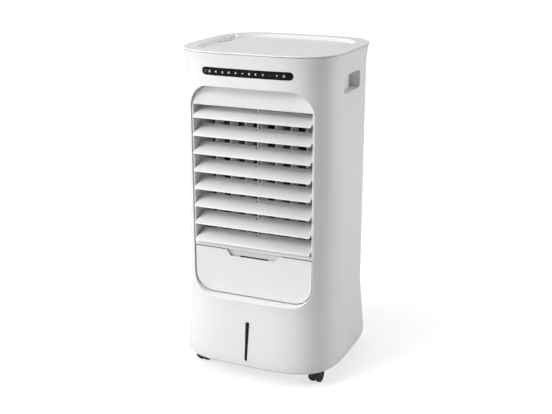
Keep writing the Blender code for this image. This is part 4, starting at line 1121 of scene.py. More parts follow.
# ---------------------------------------------------------------- control strip and level window
def curved_lens(shape, proud, sunk, edge):
    """A lens that follows the front: a face mapped on the body, a rounded edge and a flat back."""
    outlines = loops(shape, [-edge * (1 - s) for s, _ in quarter(4)], 0.003)
    rings = [FRONT.points(o, -proud + edge * (1 - c)) for o, (_, c) in zip(outlines, quarter(4))]
    rings.append(FRONT.points(outlines[-1], sunk))
    shell = Shell()
    face = np.array(outlines[0])
    low, high = face.min(0), face.max(0)
    us = np.arange(low[0] + 0.002, high[0] - 0.001, 0.003)
    vs = np.arange(low[1] + 0.002, high[1] - 0.001, 0.003)
    grid = np.array([(u, v) for u in us for v in vs])
    grid = grid[inside(grid, face)]
    grid = grid[np.linalg.norm(grid[:, None] - face[None], axis=-1).min(1) > 0.0011]
    coords = [Vector(p) for p in face] + [Vector(p) for p in grid]
    count = len(face)
    edges = [(i, (i + 1) % count) for i in range(count)]
    found, _, triangles, origin, _, _ = delaunay_2d_cdt(coords, edges, [], 1, 1e-7)
    rim = shell.add(FRONT.points([tuple(p) for p in face], -proud))
    names = rim + shell.add(FRONT.points([tuple(p) for p in grid], -proud))
    for triangle in triangles:
        shell.faces.append(tuple(names[origin[i][0]] for i in triangle))
    shell.fill(shell.run(rim, *rings[1:]))
    return shell.build("lens", 50.0)


def make_display_lens():
    lens = curved_lens(strip_outline, 0.0006, 0.0024, 0.0004)
    return show(lens, "control_strip", "gloss_lens", "cabinet", ["display_lens"], angle=50.0, weighted=False)


def make_level_window():
    window = curved_lens(window_outline, -0.0004, 0.0034, 0.0003)
    lens = ["level_window"]
    show(window, "level_window_lens", "smoked_window", "cabinet", lens, angle=50.0, weighted=False)
    marks = []
    for z, half in ((WINDOW_HIGH.z - 0.012, 0.0024), (WINDOW_LOW.z + 0.012, 0.0018)):
        right = 0.0092
        marks.append(strip_piece([(right - half, z), (right + half, z)], 0.0007))
    ticks = from_strips("level_marks", marks, 0.0)
    return show(ticks, "level_marks", "dark_plastic", "cabinet", angle=60.0, weighted=False)


def strip_piece(path, width, closed=False):
    """The two edges of a printed stroke along a flat path."""
    path = [Vector(p) for p in path]
    count = len(path)
    left, right = [], []
    for i, p in enumerate(path):
        before = path[i - 1] if closed or i > 0 else p
        after = path[(i + 1) % count] if closed or i < count - 1 else p
        along = (after - before).normalized()
        side = Vector((-along.y, along.x)) * width / 2
        left.append(p + side)
        right.append(p - side)
    return left, right, closed


def from_strips(name, strips, proud, thickness=0.00012):
    """Thin raised marks on the front: each stroke is a low closed ridge that follows the body."""
    points, faces = [], []
    for left, right, closed in strips:
        start, count = len(points), len(left)
        for row, lift in ((left, thickness), (right, thickness), (right, -0.0002), (left, -0.0002)):
            points += [tuple(p) for p in FRONT.points([tuple(q) for q in row], -proud - lift)]
        for i in range(count if closed else count - 1):
            j = (i + 1) % count
            for k in range(4):
                a, b = start + k * count, start + (k + 1) % 4 * count
                faces.append((a + i, a + j, b + j, b + i))
        if not closed:
            faces.append(tuple(start + k * count for k in range(4)))
            faces.append(tuple(start + k * count + count - 1 for k in range(4)))
    return from_data(name, points, faces)


def icon_strokes():
    """Twelve generic pictograms in millimetres round their own centres, as (path, closed) strokes."""
    timer = [(arc(0, 0, 1.9, 0, 340, 17), True), ([(0, 1.2), (0, 0), (0.9, -0.5)], False)]
    ripple = [(0.5 * i - 2, 0.6 * math.sin(1.57 * i)) for i in range(9)]
    waves = [([(u, v + rise) for u, v in ripple], False) for rise in (0.9, -0.9)]
    drop = [(arc(0, -0.6, 1.4, -220, 40, 14) + [(0, 2.2)], True)]
    puffs = arc(-1.1, -0.5, 0.9, 90, 270, 6) + arc(1.1, -0.5, 0.9, -90, 60, 6)
    puffs += arc(0.1, 0.3, 1.2, 20, 150, 6)
    cloud = [(puffs, True)]
    star = []
    for turn in (30, 90, 150):
        c, s = 1.9 * math.cos(math.radians(turn)), 1.9 * math.sin(math.radians(turn))
        star.append(([(c, s), (-c, -s)], False))
    arrow = [([(-1.8, -0.8), (0.6, -0.8), (1.8, 0.9)], False), ([(0.5, 0.9), (1.9, 1.0), (1.8, -0.4)], False)]
    fan = []
    for start in (0, 120, 240):
        petal = arc(0, 0, 0.3, start, start, 1)[:1]
        for i in range(7):
            reach = 2.1 * math.sin(math.pi * (i + 1) / 8) ** 0.5
            petal += arc(0, 0, reach, start + 12 * i, start + 12 * i, 1)[:1]
        fan.append((petal, True))
    moon = [(arc(0, 0, 1.8, 60, 300, 12) + arc(1.1, 0, 1.5, 255, 105, 8), True)]
    cap, foot = ([(-0.6, -1.3), (0.6, -1.3)], False), ([(-0.4, -1.9), (0.4, -1.9)], False)
    bulb = [(arc(0, 0.5, 1.3, -50, 230, 12), True), cap, foot]
    cone = [([(-1.6, -1.4), (0, 1.7), (1.6, -1.4)], True)]
    branch = [([(0, -1.9), (0, 0.1), (-1.5, 1.6)], False), ([(0, 0.1), (1.5, 1.6)], False)]
    power_ring = [(arc(0, 0, 2.1, 0, 345, 23), True)]
    return [timer, waves, drop, cloud, star, arrow, fan, moon, bulb, cone, branch, power_ring]


def make_icons():
    """A dim two-figure readout at the left end and twelve small lit marks."""
    half_span = 0.0935
    pitch = 2 * half_span / 11
    bright, dim = [], []
    for index, strokes in enumerate(icon_strokes()):
        middle = -half_span + index * pitch
        target = dim if index == 9 else bright
        for path, closed in strokes:
            scaled = [(middle + u * 0.0011, STRIP_Z + v * 0.0011) for u, v in path]
            target.append(strip_piece(scaled, 0.00065, closed))
    for digit in range(2):
        u = digit * 0.0046 - STRIP_HALF + 0.0075
        for rise in (-0.0034, 0.0, 0.0034):
            dim.append(strip_piece([(u - 0.0014, STRIP_Z + rise), (u + 0.0014, STRIP_Z + rise)], 0.0005))
        for side in (-0.0016, 0.0016):
            for low, high in ((-0.0030, -0.0004), (0.0004, 0.0030)):
                dim.append(strip_piece([(u + side, STRIP_Z + low), (u + side, STRIP_Z + high)], 0.0005))
    lit_marks = from_strips("lit", bright, 0.0006)
    dim_marks = from_strips("dim", dim, 0.0006)
    show(lit_marks, "control_icons", "gloss_lens", "cabinet", finish=ICON_LIT, weighted=False, angle=30.0)
    show(dim_marks, "display_digits", "gloss_lens", "cabinet", finish=ICON_DIM, weighted=False, angle=30.0)


# ---------------------------------------------------------------- grille insert
def louvre_point(along, above=0.0, drop=0.0):
    c, s = math.cos(LOUVRE_TILT), math.sin(LOUVRE_TILT)
    return LOUVRE_FRONT_Y + along * c - above * s, LOUVRE_TOP_Z - drop + along * s + above * c


def vane_x(index):
    return (index - VANES // 2) * VANE_PITCH


def make_grille_frame():
    half = OPENING_HALF - INSERT_GAP
    front, back = FRONT_PLANE_Y, FRAME_BACK_Y
    head = plate([opening_outline(-INSERT_GAP)], "XZ", front, front + 0.003)
    head = tidy_plate(cut(head, box((-0.2, -0.2, 0.1), (0.2, -0.1, BLANK_BOTTOM))))
    show(head, "grille_head", "white_insert", "cabinet", ["grille_frame"], bevel=0.0006)
    for side, label in ((-1, "left"), (1, "right")):
        x0, x1 = sorted((side * 0.1537, side * half))
        cheek = box((x0, front + 0.0002, FRAME_FLOOR_Z), (x1, back, BLANK_BOTTOM + 0.0006))
        for index in range(LOUVRES):
            y, z = louvre_point(PIVOT_AT, drop=index * LOUVRE_PITCH)
            cheek = cut(cheek, rod(PIN_RADIUS + PIN_PLAY, (x0 - 0.01, y, z), 0.03, "X", 20))
        show(cheek, f"grille_cheek_{label}", "white_insert", "cabinet", bevel=0.0004, segments=2)
    roof = box((0.003 - half, front + 0.0032, ROOF_Z), (half - 0.003, back, ROOF_Z + 0.002))
    floor = box((0.003 - half, front + 0.0032, FRAME_FLOOR_Z), (half - 0.003, back, FRAME_FLOOR_Z + 0.002))
    for index in range(VANES):
        hole = (vane_x(index), VANE_PIVOT_Y)
        roof = cut(roof, rod(PIN_RADIUS + PIN_PLAY, (*hole, ROOF_Z - 0.01), 0.03, "Z", 20))
        floor = cut(floor, rod(PIN_RADIUS + PIN_PLAY, (*hole, FRAME_FLOOR_Z - 0.01), 0.03, "Z", 20))
    show(roof, "vane_roof", "white_insert", "cabinet", bevel=0.0003, segments=2)
    show(floor, "vane_floor", "white_insert", "cabinet", bevel=0.0003, segments=2)
    bar = box((-half, front, BAR_BOTTOM), (half, front + 0.003, BAR_TOP))
    show(bar, "sill_bar", "white_insert", "cabinet", bevel=0.0007)
    line = [(front + 0.0006, 0.3186), (front + 0.0012, 0.3170), (front + 0.0042, 0.3146), (-0.1495, 0.3064)]
    line = blend_profile([*line, (-0.1466, 0.2890)], 6)
    behind = [(y + 0.0020, z + 0.0006) for y, z in line]
    width = NOTCH_TOP_HALF + 0.004
    scoop = plate([line + behind[::-1]], "YZ", -width, width)
    slot = box((-0.038, -0.16, 0.28), (0.038, -0.13, 0.3004))
    show(tidy_plate(cut(scoop, slot)), "door_scoop", "white_insert", "cabinet", bevel=0.0003, segments=2)
    # black strips that paint shade: a backing behind the scoop's slot, and strips in the seam above the door
    # and behind its top edge, dark where these gaps would fall in shadow
    shade_strips = [box((-0.040, -0.1444, 0.2860), (0.040, -0.1430, 0.3030))]
    for x in (-0.1535, 0.0765):
        seam_shade = box((x, front + 0.0010, DOOR_TOP + 0.0003), (x + 0.077, -0.1520, BAR_BOTTOM - 0.0001))
        shade_strips += [seam_shade, box((x, -0.1532, 0.3104), (x + 0.077, -0.1505, 0.3196))]
    show(join(*shade_strips), "door_seam_shade", "black_plastic", "cabinet", bevel=0.0002, segments=2)


def louvre_section(inset=0.0):
    """The blade's section: a round nose, a crowned back and a thin tail, as (y, z) points."""
    half = LOUVRE_THICKNESS / 2
    upper, lower = [], []
    nose = [0.0, 0.0002, 0.0006, 0.0012, 0.0020, 0.0032]
    body = [0.006, 0.010, 0.015, 0.020, 0.026, 0.033, 0.040, 0.047, 0.053]
    for along in nose + body + [LOUVRE_CHORD - 0.0006, LOUVRE_CHORD - 0.0001]:
        rounding = math.sqrt(max(0.0, 1 - (1 - min(1.0, along / 0.0022)) ** 2))
        tail = 1.0 if along < 0.020 else 1.0 - 0.4 * (along - 0.020) / (LOUVRE_CHORD - 0.020)
        end = 1.0 if along < LOUVRE_CHORD - 0.0005 else 0.55
        thick = max(0.00001, half * rounding * tail * end - inset)
        crown = 0.0016 * math.sin(math.pi * along / LOUVRE_CHORD)
        at = min(max(along, inset), LOUVRE_CHORD - inset)
        upper.append(louvre_point(at, crown + thick))
        lower.append(louvre_point(at, crown - thick))
    return upper + lower[::-1]


def blade_span():
    """The blade's length; its ends turn in over their last 0.8 mm."""
    steps = [(0.0, 0.0006), (0.0002, 0.0003), (0.0005, 0.00012), (0.0008, 0.0)]
    rings = [[(distance - LOUVRE_HALF, y, z) for y, z in louvre_section(inset)] for distance, inset in steps]
    rings += [[(-x, y, z) for x, y, z in ring] for ring in reversed(rings)]
    return loft(rings)


def make_louvres():
    y, z = louvre_point(PIVOT_AT)
    slot = [louvre_point(*corner) for corner in rectangle(0.042, -0.01, 0.07, 0.01)]
    blade = cut(blade_span(), plate([slot], "YZ", -0.0045, 0.0045))
    crank = rod(0.0014, (-0.0068, *louvre_point(LINK_AT)), 0.0136, "X", 16, 0.0002)
    left = rod(PIN_RADIUS, (-LOUVRE_HALF - 0.0042, y, z), 0.0082, "X", 24)
    right = rod(PIN_RADIUS, (LOUVRE_HALF - 0.0040, y, z), 0.0082, "X", 24)
    blade = join(blade, crank, left, right)
    for index in range(LOUVRES):
        copy = placed("blade", blade.data.copy())
        copy.data.transform(Matrix.Translation((0, 0, -index * LOUVRE_PITCH)))
        name = f"louvre_{index + 1}"
        show(copy, f"{name}_blade", "white_insert", name, [name], angle=40.0, weighted=False)
    bpy.data.objects.remove(blade)


def make_fill_door():
    """The flap: a soft-edged plate with a finger notch and hinge pins at its foot."""
    front = FRONT_PLANE_Y
    door = plate([opening_outline(-DOOR_GAP)], "XZ", front, front + 0.003)
    door = cut(door, box((-0.2, -0.2, DOOR_TOP), (0.2, -0.1, 0.8)))
    line = blend_profile(
        [
            (-NOTCH_TOP_HALF, DOOR_TOP),
            (-NOTCH_TOP_HALF + 0.004, DOOR_TOP - 0.0010),
            (-NOTCH_BOTTOM_HALF - 0.004, DOOR_TOP - NOTCH_DEPTH + 0.0015),
            (-NOTCH_BOTTOM_HALF, DOOR_TOP - NOTCH_DEPTH),
        ],
        6,
    )
    notch = [(-NOTCH_TOP_HALF, DOOR_TOP + 0.01), *line]
    notch += [(-x, z) for x, z in reversed(notch)]
    door = tidy_plate(cut(door, plate([notch], "XZ", -0.2, -0.1)))
    show(door, "fill_door_panel", "white_insert", "fill_door", ["fill_door"], bevel=0.0007)
    y, z = DOOR_HINGE
    pins = [rod(0.0012, (x, y, z), 0.0140, "X", 20) for x in (-0.1440, 0.1300)]
    show(join(*pins), "fill_door_pins", "white_insert", "fill_door", weighted=False)


make_housing()
make_top_cover()
make_top_lid()
make_ice_tray()
make_display_lens()
make_level_window()
make_icons()
make_grille_frame()
make_louvres()
make_fill_door()


# ---------------------------------------------------------------- fan side
def make_fan():
    """The axial fan: a domed hub and five twisted blades."""
    y, z = -0.014, 0.500
    dome = [(0.028 + 0.008 * s, -0.016 - 0.008 * c) for s, c in quarter(8)]
    profile = [(0.0043, -0.021), *dome, (0.036, 0.020), (0.0355, 0.0215), (0.034, 0.022)]
    profile.append((0.0043, 0.022))
    hub = lathe(profile, (0, y, z), "Y", 64)
    blades = []
    spans, chords = 16, 12
    start, tip = 0.033, 0.138
    for blade in range(5):
        turn = 2 * math.pi * blade / 5
        sheets = []
        for lift in (-1, 1):
            rows = []
            for i in range(spans + 1):
                share = i / spans
                radius = start + (tip - start) * share
                pitch = math.radians(48 - 24 * share)
                tip_rounding = math.sqrt(max(0.02, 1 - max(0.0, (share - 0.86) / 0.14) ** 2 * 0.5))
                half = (0.030 + 0.020 * share - 0.010 * share**3) * tip_rounding
                row = []
                for j in range(chords + 1):
                    u = 2 * j / chords - 1
                    along = u * half
                    swing = along * math.cos(pitch) / radius + math.radians(14) * share**2
                    thick = 0.0011 * math.sqrt(max(0.0, 1 - u**4)) * lift
                    depth = along * math.sin(pitch) * 0.72 + 0.004 * (1 - u**2) + thick
                    at = turn + swing
                    row.append((radius * math.cos(at), y + depth, z + radius * math.sin(at)))
                rows.append(row)
            sheets.append(rows)
        rings = [front + back[-2:0:-1] for front, back in zip(*sheets)]
        blades.append(weld(loft(rings), 1e-6))
    rotor = join(hub, *blades)
    show(rotor, "fan_blades", "dark_plastic", "fan", ["fan_rotor"], angle=40.0, weighted=False)


# ---------------------------------------------------------------- water side
def make_pad():
    """The wet pad: corrugated sheets side by side, their flutes crossing from one sheet to the next."""
    low, high = PAD_LOW, PAD_HIGH
    sheets, wave, per_wave, deep = 30, 0.0155, 7, 5
    pitch = (high.x - low.x) / sheets
    rows = int(round((high.z - low.z) / wave * per_wave))
    thick = 0.00045
    points, faces = [], []
    for sheet in range(sheets):
        lean = 0.6 if sheet % 2 else -0.35
        middle = low.x + (sheet + 0.5) * pitch
        swing = pitch / 2 - 0.0005
        start = len(points)
        for i in range(rows + 1):
            z = low.z + (high.z - low.z) * i / rows
            for j in range(deep):
                y = low.y + (high.y - low.y) * j / (deep - 1)
                bend = swing * math.sin(2 * math.pi * (z + lean * (y - low.y)) / wave + sheet * 0.7)
                points.append((middle + bend - thick, y, z))
                points.append((middle + bend + thick, y, z))

        def name(i, j, k):
            return start + (i * deep + j) * 2 + k

        for i in range(rows):
            for j in range(deep - 1):
                for k in range(2):
                    faces.append((name(i, j, k), name(i, j + 1, k), name(i + 1, j + 1, k), name(i + 1, j, k)))
            for j in (0, deep - 1):
                faces.append((name(i, j, 0), name(i, j, 1), name(i + 1, j, 1), name(i + 1, j, 0)))
        for i in (0, rows):
            for j in range(deep - 1):
                faces.append((name(i, j, 0), name(i, j + 1, 0), name(i, j + 1, 1), name(i, j, 1)))
    pad = from_data("pad", points, faces)
    show(pad, "cellulose_pad", "wet_pad", "cabinet", ["cooling_pad"], angle=60.0, weighted=False)


def make_filter():
    """The dust screen: crossing strands in a narrow rim."""
    low, high = FILTER_LOW, FILTER_HIGH
    middle = (low.y + high.y) / 2
    rim = 0.004
    frame_piece = plate(
        [
            rectangle(low.x, low.z, high.x, high.z),
            rectangle(low.x + rim, low.z + rim, high.x - rim, high.z - rim),
        ],
        "XZ",
        low.y,
        high.y,
    )
    pitch, half = 0.0032, 0.00042
    points, faces = [], []

    def strand(a, b):
        start = len(points)
        points.extend(Vector((x, y, z)) for z in (a[2], b[2]) for y in (a[1], b[1]) for x in (a[0], b[0]))
        for face in ((0, 2, 3, 1), (4, 5, 7, 6), (0, 1, 5, 4), (2, 6, 7, 3), (0, 4, 6, 2), (1, 3, 7, 5)):
            faces.append(tuple(start + k for k in face))

    across = int((high.x - low.x - 2 * rim) / pitch)
    for i in range(1, across + 1):
        x = low.x + rim + i * (high.x - low.x - 2 * rim) / (across + 1)
        strand((x - half, middle - 0.0006, low.z + 0.001), (x + half, middle, high.z - 0.001))
    up = int((high.z - low.z - 2 * rim) / pitch)
    for i in range(1, up + 1):
        z = low.z + rim + i * (high.z - low.z - 2 * rim) / (up + 1)
        strand((low.x + 0.001, middle - 0.0001, z - half), (high.x - 0.001, middle + 0.0005, z + half))
    strands = from_data("strands", points, faces, False)
    show(strands, "filter_strands", "filter_mesh", "rear_grille", ["dust_filter"], weighted=False)
    show(frame_piece, "filter_rim", "filter_mesh", "rear_grille", bevel=0.0003, segments=2)


def make_hose():
    bends = [
        (0.095, 0.080, 0.1000), (0.095, 0.080, 0.1600), (0.095, 0.080, 0.2150),
        (0.118, 0.099, 0.2450), (0.1400, 0.1170, 0.2800), (0.1420, 0.1200, 0.3400),
        (0.1420, 0.1200, 0.5000), (0.1420, 0.1200, 0.7080), (0.1385, 0.1200, 0.7270),
        (0.1240, 0.1200, 0.7330), (0.1130, 0.1200, 0.7270), (0.1100, 0.1200, 0.7060),
    ]
    hose = tube(smooth_path(bends, 8), 0.0062, 20)
    rings = [rod(0.0069, (0.095, 0.080, 0.1035 + i * 0.0042), 0.0018, "Z", 24) for i in range(3)]
    show(join(hose, *rings), "riser_tube", "hose", "cabinet", ["riser_hose"], weighted=False)


def make_tank():
    """The pull-out tank: a soft-cornered tray whose back wall is the fascia, with a recessed pull."""
    half, front, low, top, wall = TANK_HIGH.x, TANK_LOW.y, TANK_LOW.z, TANK_HIGH.z, 0.0025
    back = TANK_HIGH.y
    outer = box((-half, front, low), (half, back, top))
    inner = box((-half + wall, front + wall, low + wall), (half - wall, back - 0.0320, 0.3))
    soften(inner, 0.010, 4)
    pull = box((-0.050, back - 0.026, 0.112), (0.050, back + 0.02, 0.148))
    soften(pull, 0.0075, 5)
    rib = half - 0.004
    lightening = box((-rib, back - 0.0295, 0.033), (rib, back - 0.003, 0.095))
    drain = rod(0.0062, (DRAIN_X, back - 0.05, DRAIN_Z), 0.08, "Y", 28)
    tank = cut(outer, settle(inner), settle(pull), lightening, drain)
    show(tank, "tank_moulding", "tank_plastic", "water_tank", ["water_tank"], bevel=0.0009, angle=40.0)
    stem = [(0.0, -0.034), (0.0053, -0.034), (0.0056, -0.0337), (0.0056, 0.0005)]
    knob = [(0.0092, 0.0005), (0.0095, 0.0009), (0.0095, 0.0058), (0.0089, 0.0064)]
    knob += [(0.0030, 0.0064), (0.0026, 0.0058), (0.0, 0.0058)]
    plug = lathe(stem + knob, (DRAIN_X, back, DRAIN_Z), "Y", 48)
    ridges = []
    for x, z in circle(DRAIN_X, DRAIN_Z, 0.0093, 16):
        ridges.append(rod(0.0006, (x, back + 0.0012, z), 0.0042, "Y", 8, 0.0002))
    show(join(plug, *ridges), "drain_plug_knob", "dark_plastic", "water_tank", ["drain_plug"], weighted=False)


# ---------------------------------------------------------------- back
def make_rear_panel():
    outline = rounded_outline(BACK_HALF - 0.001, 0.0502, BACK_TOP - 0.001, 0.018, BACK_RADIUS - 0.001, 10)
    intake = rectangle(-INTAKE_HALF, INTAKE_BOTTOM, INTAKE_HALF, INTAKE_TOP)
    half = TANK_HIGH.x + 0.001
    tank = rectangle(-half, 0.0515, half, TANK_HIGH.z + 0.0012)
    screw_holes = [circle(x, z, 0.0022, 20) for x, z in COVER_SCREWS]
    panel = plate([outline, intake, tank, *screw_holes], "XZ", BACK_PLANE_Y - 0.003, BACK_PLANE_Y)
    gland_hole = rod(0.0036, (GLAND[0], BACK_PLANE_Y - 0.02, GLAND[2]), 0.04, "Y", 24)
    panel = cut(panel, gland_hole)
    show(tidy_plate(panel, True), "rear_cover", "white_shell", "cabinet", ["rear_panel"], bevel=0.0005)
    foot = [(0.0, -0.001), (0.0098, -0.001), (0.0092, 0.0006), (0.0084, 0.0018), (0.0080, 0.0040)]
    for x, label in ((-HOOK_X, "left"), (HOOK_X, "right")):
        post = lathe([*foot, (0.0080, 0.0175), (0.0, 0.0175)], (x, BACK_PLANE_Y, HOOK_Z), "Y", 40)
        shape = [(u + x, v) for u, v in rounded_outline(0.010, 0.218, 0.254, 0.006, 0.006, 8)]
        lip = plate([shape], "XZ", BACK_PLANE_Y + 0.0155, BACK_PLANE_Y + 0.0185)
        show(post, f"cord_hook_post_{label}", "white_shell", "cabinet", weighted=False)
        show(lip, f"cord_hook_lip_{label}", "white_shell", "cabinet", bevel=0.0007)
    sleeve = [(0.0036, -0.002), (0.0075, -0.002), (0.0075, 0.0055)]
    sleeve += [(0.0068, 0.0068), (0.0052, 0.0070), (0.0036, 0.0064)]
    gland = lathe(sleeve, GLAND, "Y", 36)
    show(gland, "cord_gland", "black_plastic", "cabinet", weighted=False)


def make_rear_grille():
    """The intake grille: rounded slats between three columns, a rim and a finger tab."""
    half = GRILLE_HIGH.x
    bottom, top = INTAKE_BOTTOM + 0.0012, INTAKE_TOP - 0.0012
    back = BACK_PLANE_Y
    rows, columns = 14, 3
    cell_w = (2 * half - 0.020) / columns
    cell_h = (top - bottom - 0.034) / rows
    slots = []
    for row in range(rows):
        for column in range(columns):
            u = -half + 0.010 + column * cell_w
            v = bottom + 0.010 + row * cell_h
            middle = u + cell_w / 2
            shape = rounded_outline(cell_w / 2 - 0.003, v + 0.004, v + cell_h - 0.004, 0.0035, 0.0035, 4)
            slots.append([(a + middle, b) for a, b in shape])
    face = plate([rectangle(-half, bottom, half, top), *slots], "XZ", back - 0.0035, back)
    face = tidy_plate(face, True)
    show(face, "rear_grille_face", "white_shell", "rear_grille", ["rear_grille"], bevel=0.0006, segments=2)
    outer = rectangle(-half, bottom, half, top)
    inner = rectangle(0.002 - half, bottom + 0.002, half - 0.002, top - 0.002)
    rim = plate([outer, inner], "XZ", 0.1530, back - 0.0036)
    show(rim, "rear_grille_rim", "white_shell", "rear_grille", bevel=0.0003, segments=2)
    tab = box((-0.022, back - 0.001, top - 0.016), (0.022, back + 0.006, top - 0.012))
    show(tab, "rear_grille_tab", "white_shell", "rear_grille", bevel=0.0012, segments=3)


def make_screws():
    """Four cross-head screws of the back cover."""
    head = [(0.0, -0.0120), (0.0010, -0.0120), (0.0018, -0.0105), (0.0018, 0.0004), (0.0036, 0.0004)]
    head += [(0.0022 + 0.0014 * c, 0.0014 + 0.0012 * s) for s, c in quarter(5)]
    head.append((0.0, 0.0026))
    bottom, top = BACK_PLANE_Y + 0.0013, BACK_PLANE_Y + 0.004
    for index, (x, z) in enumerate(COVER_SCREWS, 1):
        screw = lathe(head, (x, BACK_PLANE_Y, z), "Y", 32)
        for a, b in ((0.0019, 0.00035), (0.00035, 0.0019)):
            screw = cut(screw, box((x - a, bottom, z - b), (x + a, top, z + b)))
        node = [f"rear_screw_{index}"]
        show(screw, f"cover_screw_{index}", "bright_steel", "cabinet", node, weighted=False, angle=30.0)


def cord_path():
    """From the gland to the right hook, then an oval spiral round both hooks, each turn outside the last."""
    x, y, z = GLAND
    points = [(x, y - 0.010, z), (x, y + 0.0080, z), (x + 0.004, y + 0.0118, z + 0.001)]
    points += [(x + 0.018, y + 0.0122, z + 0.0045), (-0.040, y + 0.0120, 0.2278), (0.036, y + 0.0120, 0.2425)]
    points += [(0.054, y + 0.0090, 0.2470), (0.064, y + 0.0056, 0.2487)]
    start, growth, steps = 0.0130, 0.0070, 7
    for half_turn in range(5):
        side, top = (1, 90) if half_turn % 2 == 0 else (-1, -90)
        for i in range(steps + 1):
            radius = start + growth * (half_turn + i / steps) / 2
            angle = math.radians(top - 180 * i / steps)
            across, up = radius * math.cos(angle), radius * math.sin(angle)
            points.append((side * HOOK_X + across, y + 0.0050, HOOK_Z + up))
    tail = [(0.0560, 0.2040), (0.0460, 0.1995), (0.0380, 0.1930), (0.0300, 0.1888), (0.0200, 0.1880)]
    return points + [(u, y + 0.0050, v) for u, v in tail]


def make_cord():
    cord = tube(smooth_path(cord_path(), 4), 0.0030, 16)
    show(cord, "mains_cord", "cord_sheath", "cabinet", ["power_cord"], weighted=False)
    x, y, z = cord_path()[-1]
    plug_low = drawn_box("mains_plug")[0]
    rings = []
    stations = [(-0.0420, 0.0070, 0.0074), (-0.0410, 0.0078, 0.0080), (-0.0250, 0.0078, 0.0080)]
    stations += [(-0.0200, 0.0066, 0.0070), (-0.0150, 0.0074, 0.0078), (-0.0080, 0.0060, 0.0062)]
    stations += [(-0.0040, 0.0045, 0.0048), (-0.0004, 0.0036, 0.0038)]
    for along, tall, wide in stations:
        ring = []
        for i in range(28):
            t = 2 * math.pi * i / 28
            u, v = power(math.cos(t), 0.6) * tall, power(math.sin(t), 0.6) * wide
            ring.append((x + along, max(y + 0.0035 + u * 0.98, plug_low.y), z + v))
        rings.append(ring)
    body = loft(rings)
    show(body, "plug_body", "black_plastic", "cabinet", ["mains_plug"], angle=40.0, weighted=False)
    pins = [rod(0.0020, (x - 0.060, y + 0.0035, z + o), 0.020, "X", 24, 0.0008) for o in (-0.0048, 0.0048)]
    show(join(*pins), "plug_pins", "bright_steel", "cabinet", weighted=False)


# ---------------------------------------------------------------- casters
CASTERS = {"front_left": (-1, -1), "front_right": (1, -1), "rear_left": (-1, 1), "rear_right": (1, 1)}


def make_casters():
    radius, trail, top = 0.019, 0.011, 0.0465
    for label, (sx, sy) in CASTERS.items():
        x, y = sx * 0.157, sy * 0.128
        axle_y, axle_z = y + trail, radius - BODY_LIFT

        def arc_line(clearance):
            return arc(axle_y, axle_z, radius + clearance, 15, 195, 24)

        hood = plate([arc_line(0.0035) + arc_line(0.0012)[::-1]], "YZ", x - 0.0145, x + 0.0145)
        web_outline = arc_line(0.0023) + [(axle_y - 0.007, axle_z - 0.005), (axle_y + 0.007, axle_z - 0.005)]
        web = plate([web_outline, circle(axle_y, axle_z, 0.0029, 24)], "YZ", x - 0.0022, x + 0.0022)
        neck = lathe(
            [
                (0.0, axle_z + radius + 0.0010),
                (0.0086, axle_z + radius + 0.0010),
                (0.0080, axle_z + radius + 0.0042),
                (0.0078, top - 0.0012),
                (0.0074, top - 0.0008),
                (0.0040, top - 0.0008),
                (0.0040, top + 0.0120),
                (0.0034, top + 0.0130),
                (0.0, top + 0.0130),
            ],
            (x, y, 0.0),
            "Z",
            32,
        )
        fork = [f"caster_fork_{label}"]
        show(hood, f"caster_hood_{label}", "black_plastic", f"fork_{label}", fork, bevel=0.0008)
        show(web, f"caster_web_{label}", "black_plastic", f"fork_{label}", bevel=0.0004, segments=2)
        show(neck, f"caster_neck_{label}", "black_plastic", f"fork_{label}", weighted=False)
        profile = [
            (0.0, 0.0014), (0.0052, 0.0014), (0.0058, 0.0020), (0.0072, 0.0030), (0.0136, 0.0030),
            (0.0150, 0.0022), (0.0154, 0.0006), (0.0160, 0.0), (0.0172, 0.0), (0.0183, 0.0005),
            (0.0189, 0.0014), (radius, 0.0028), (radius, 0.0088), (0.0188, 0.0100), (0.0180, 0.0108),
            (0.0172, 0.0110), (0.0, 0.0110),
        ]
        wheels = []
        for sign in (-1, 1):
            side = [(r, sign * (0.0139 - a)) for r, a in profile]
            wheels.append(lathe(side, (x, axle_y, axle_z), "X", 48))
            for spoke in range(5):
                rib = box((-0.0004, 0.0054, -0.0008), (0.0012, 0.0146, 0.0008))
                rib.data.transform(Matrix.Rotation(2 * math.pi * spoke / 5, 4, "X"))
                rib.data.transform(Matrix.Translation((x + sign * 0.0110, axle_y, axle_z)))
                wheels.append(rib)
        wheels.append(rod(0.0025, (x - 0.0060, axle_y, axle_z), 0.0120, "X", 20))
        pair = join(*wheels)
        name = f"caster_twin_wheel_{label}"
        show(pair, name, "caster_tread", f"wheels_{label}", [f"caster_wheels_{label}"], weighted=False)


make_fan()
make_pad()
make_filter()
make_hose()
make_tank()
make_rear_panel()
make_rear_grille()
make_screws()
make_cord()
make_casters()

# ---------------------------------------------------------------- CAD nodes that stay: finish and soft edges
CARRIED = {
    "white_insert": (
        ["fill_chute", "louvre_link", "vane_link", "pad_frame", "water_distributor", "pump_bracket"]
        + [f"vane_{i + 1}" for i in range(VANES)],
        0.00035,
    ),
    "white_shell": (["base_chassis"], 0.0004),
    "dark_plastic": (["fan_shroud"], 0.0004),
    "black_plastic": (["water_pump"], 0.0006),
    "bright_steel": (["fan_motor", "fan_shaft", "swing_motor"], 0.0004),
    "circuit_board": (["control_board"], 0.0002),
}
for slot_name, (names, radius) in CARRIED.items():
    for node_name in names:
        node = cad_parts[node_name]
        node.data.materials.clear()
        node.data.materials.append(FINISHES[slot_name].material)
        welding = node.modifiers.new("weld", "WELD")
        welding.merge_threshold = 0.00001
        round_edges(node, radius, 2, 40, True)
        node.modifiers.new("even_normals", "WEIGHTED_NORMAL").weight = 80

# ---------------------------------------------------------------- studio
scene = bpy.context.scene
scene.view_settings.view_transform = "Standard"
scene.view_settings.look = "None"

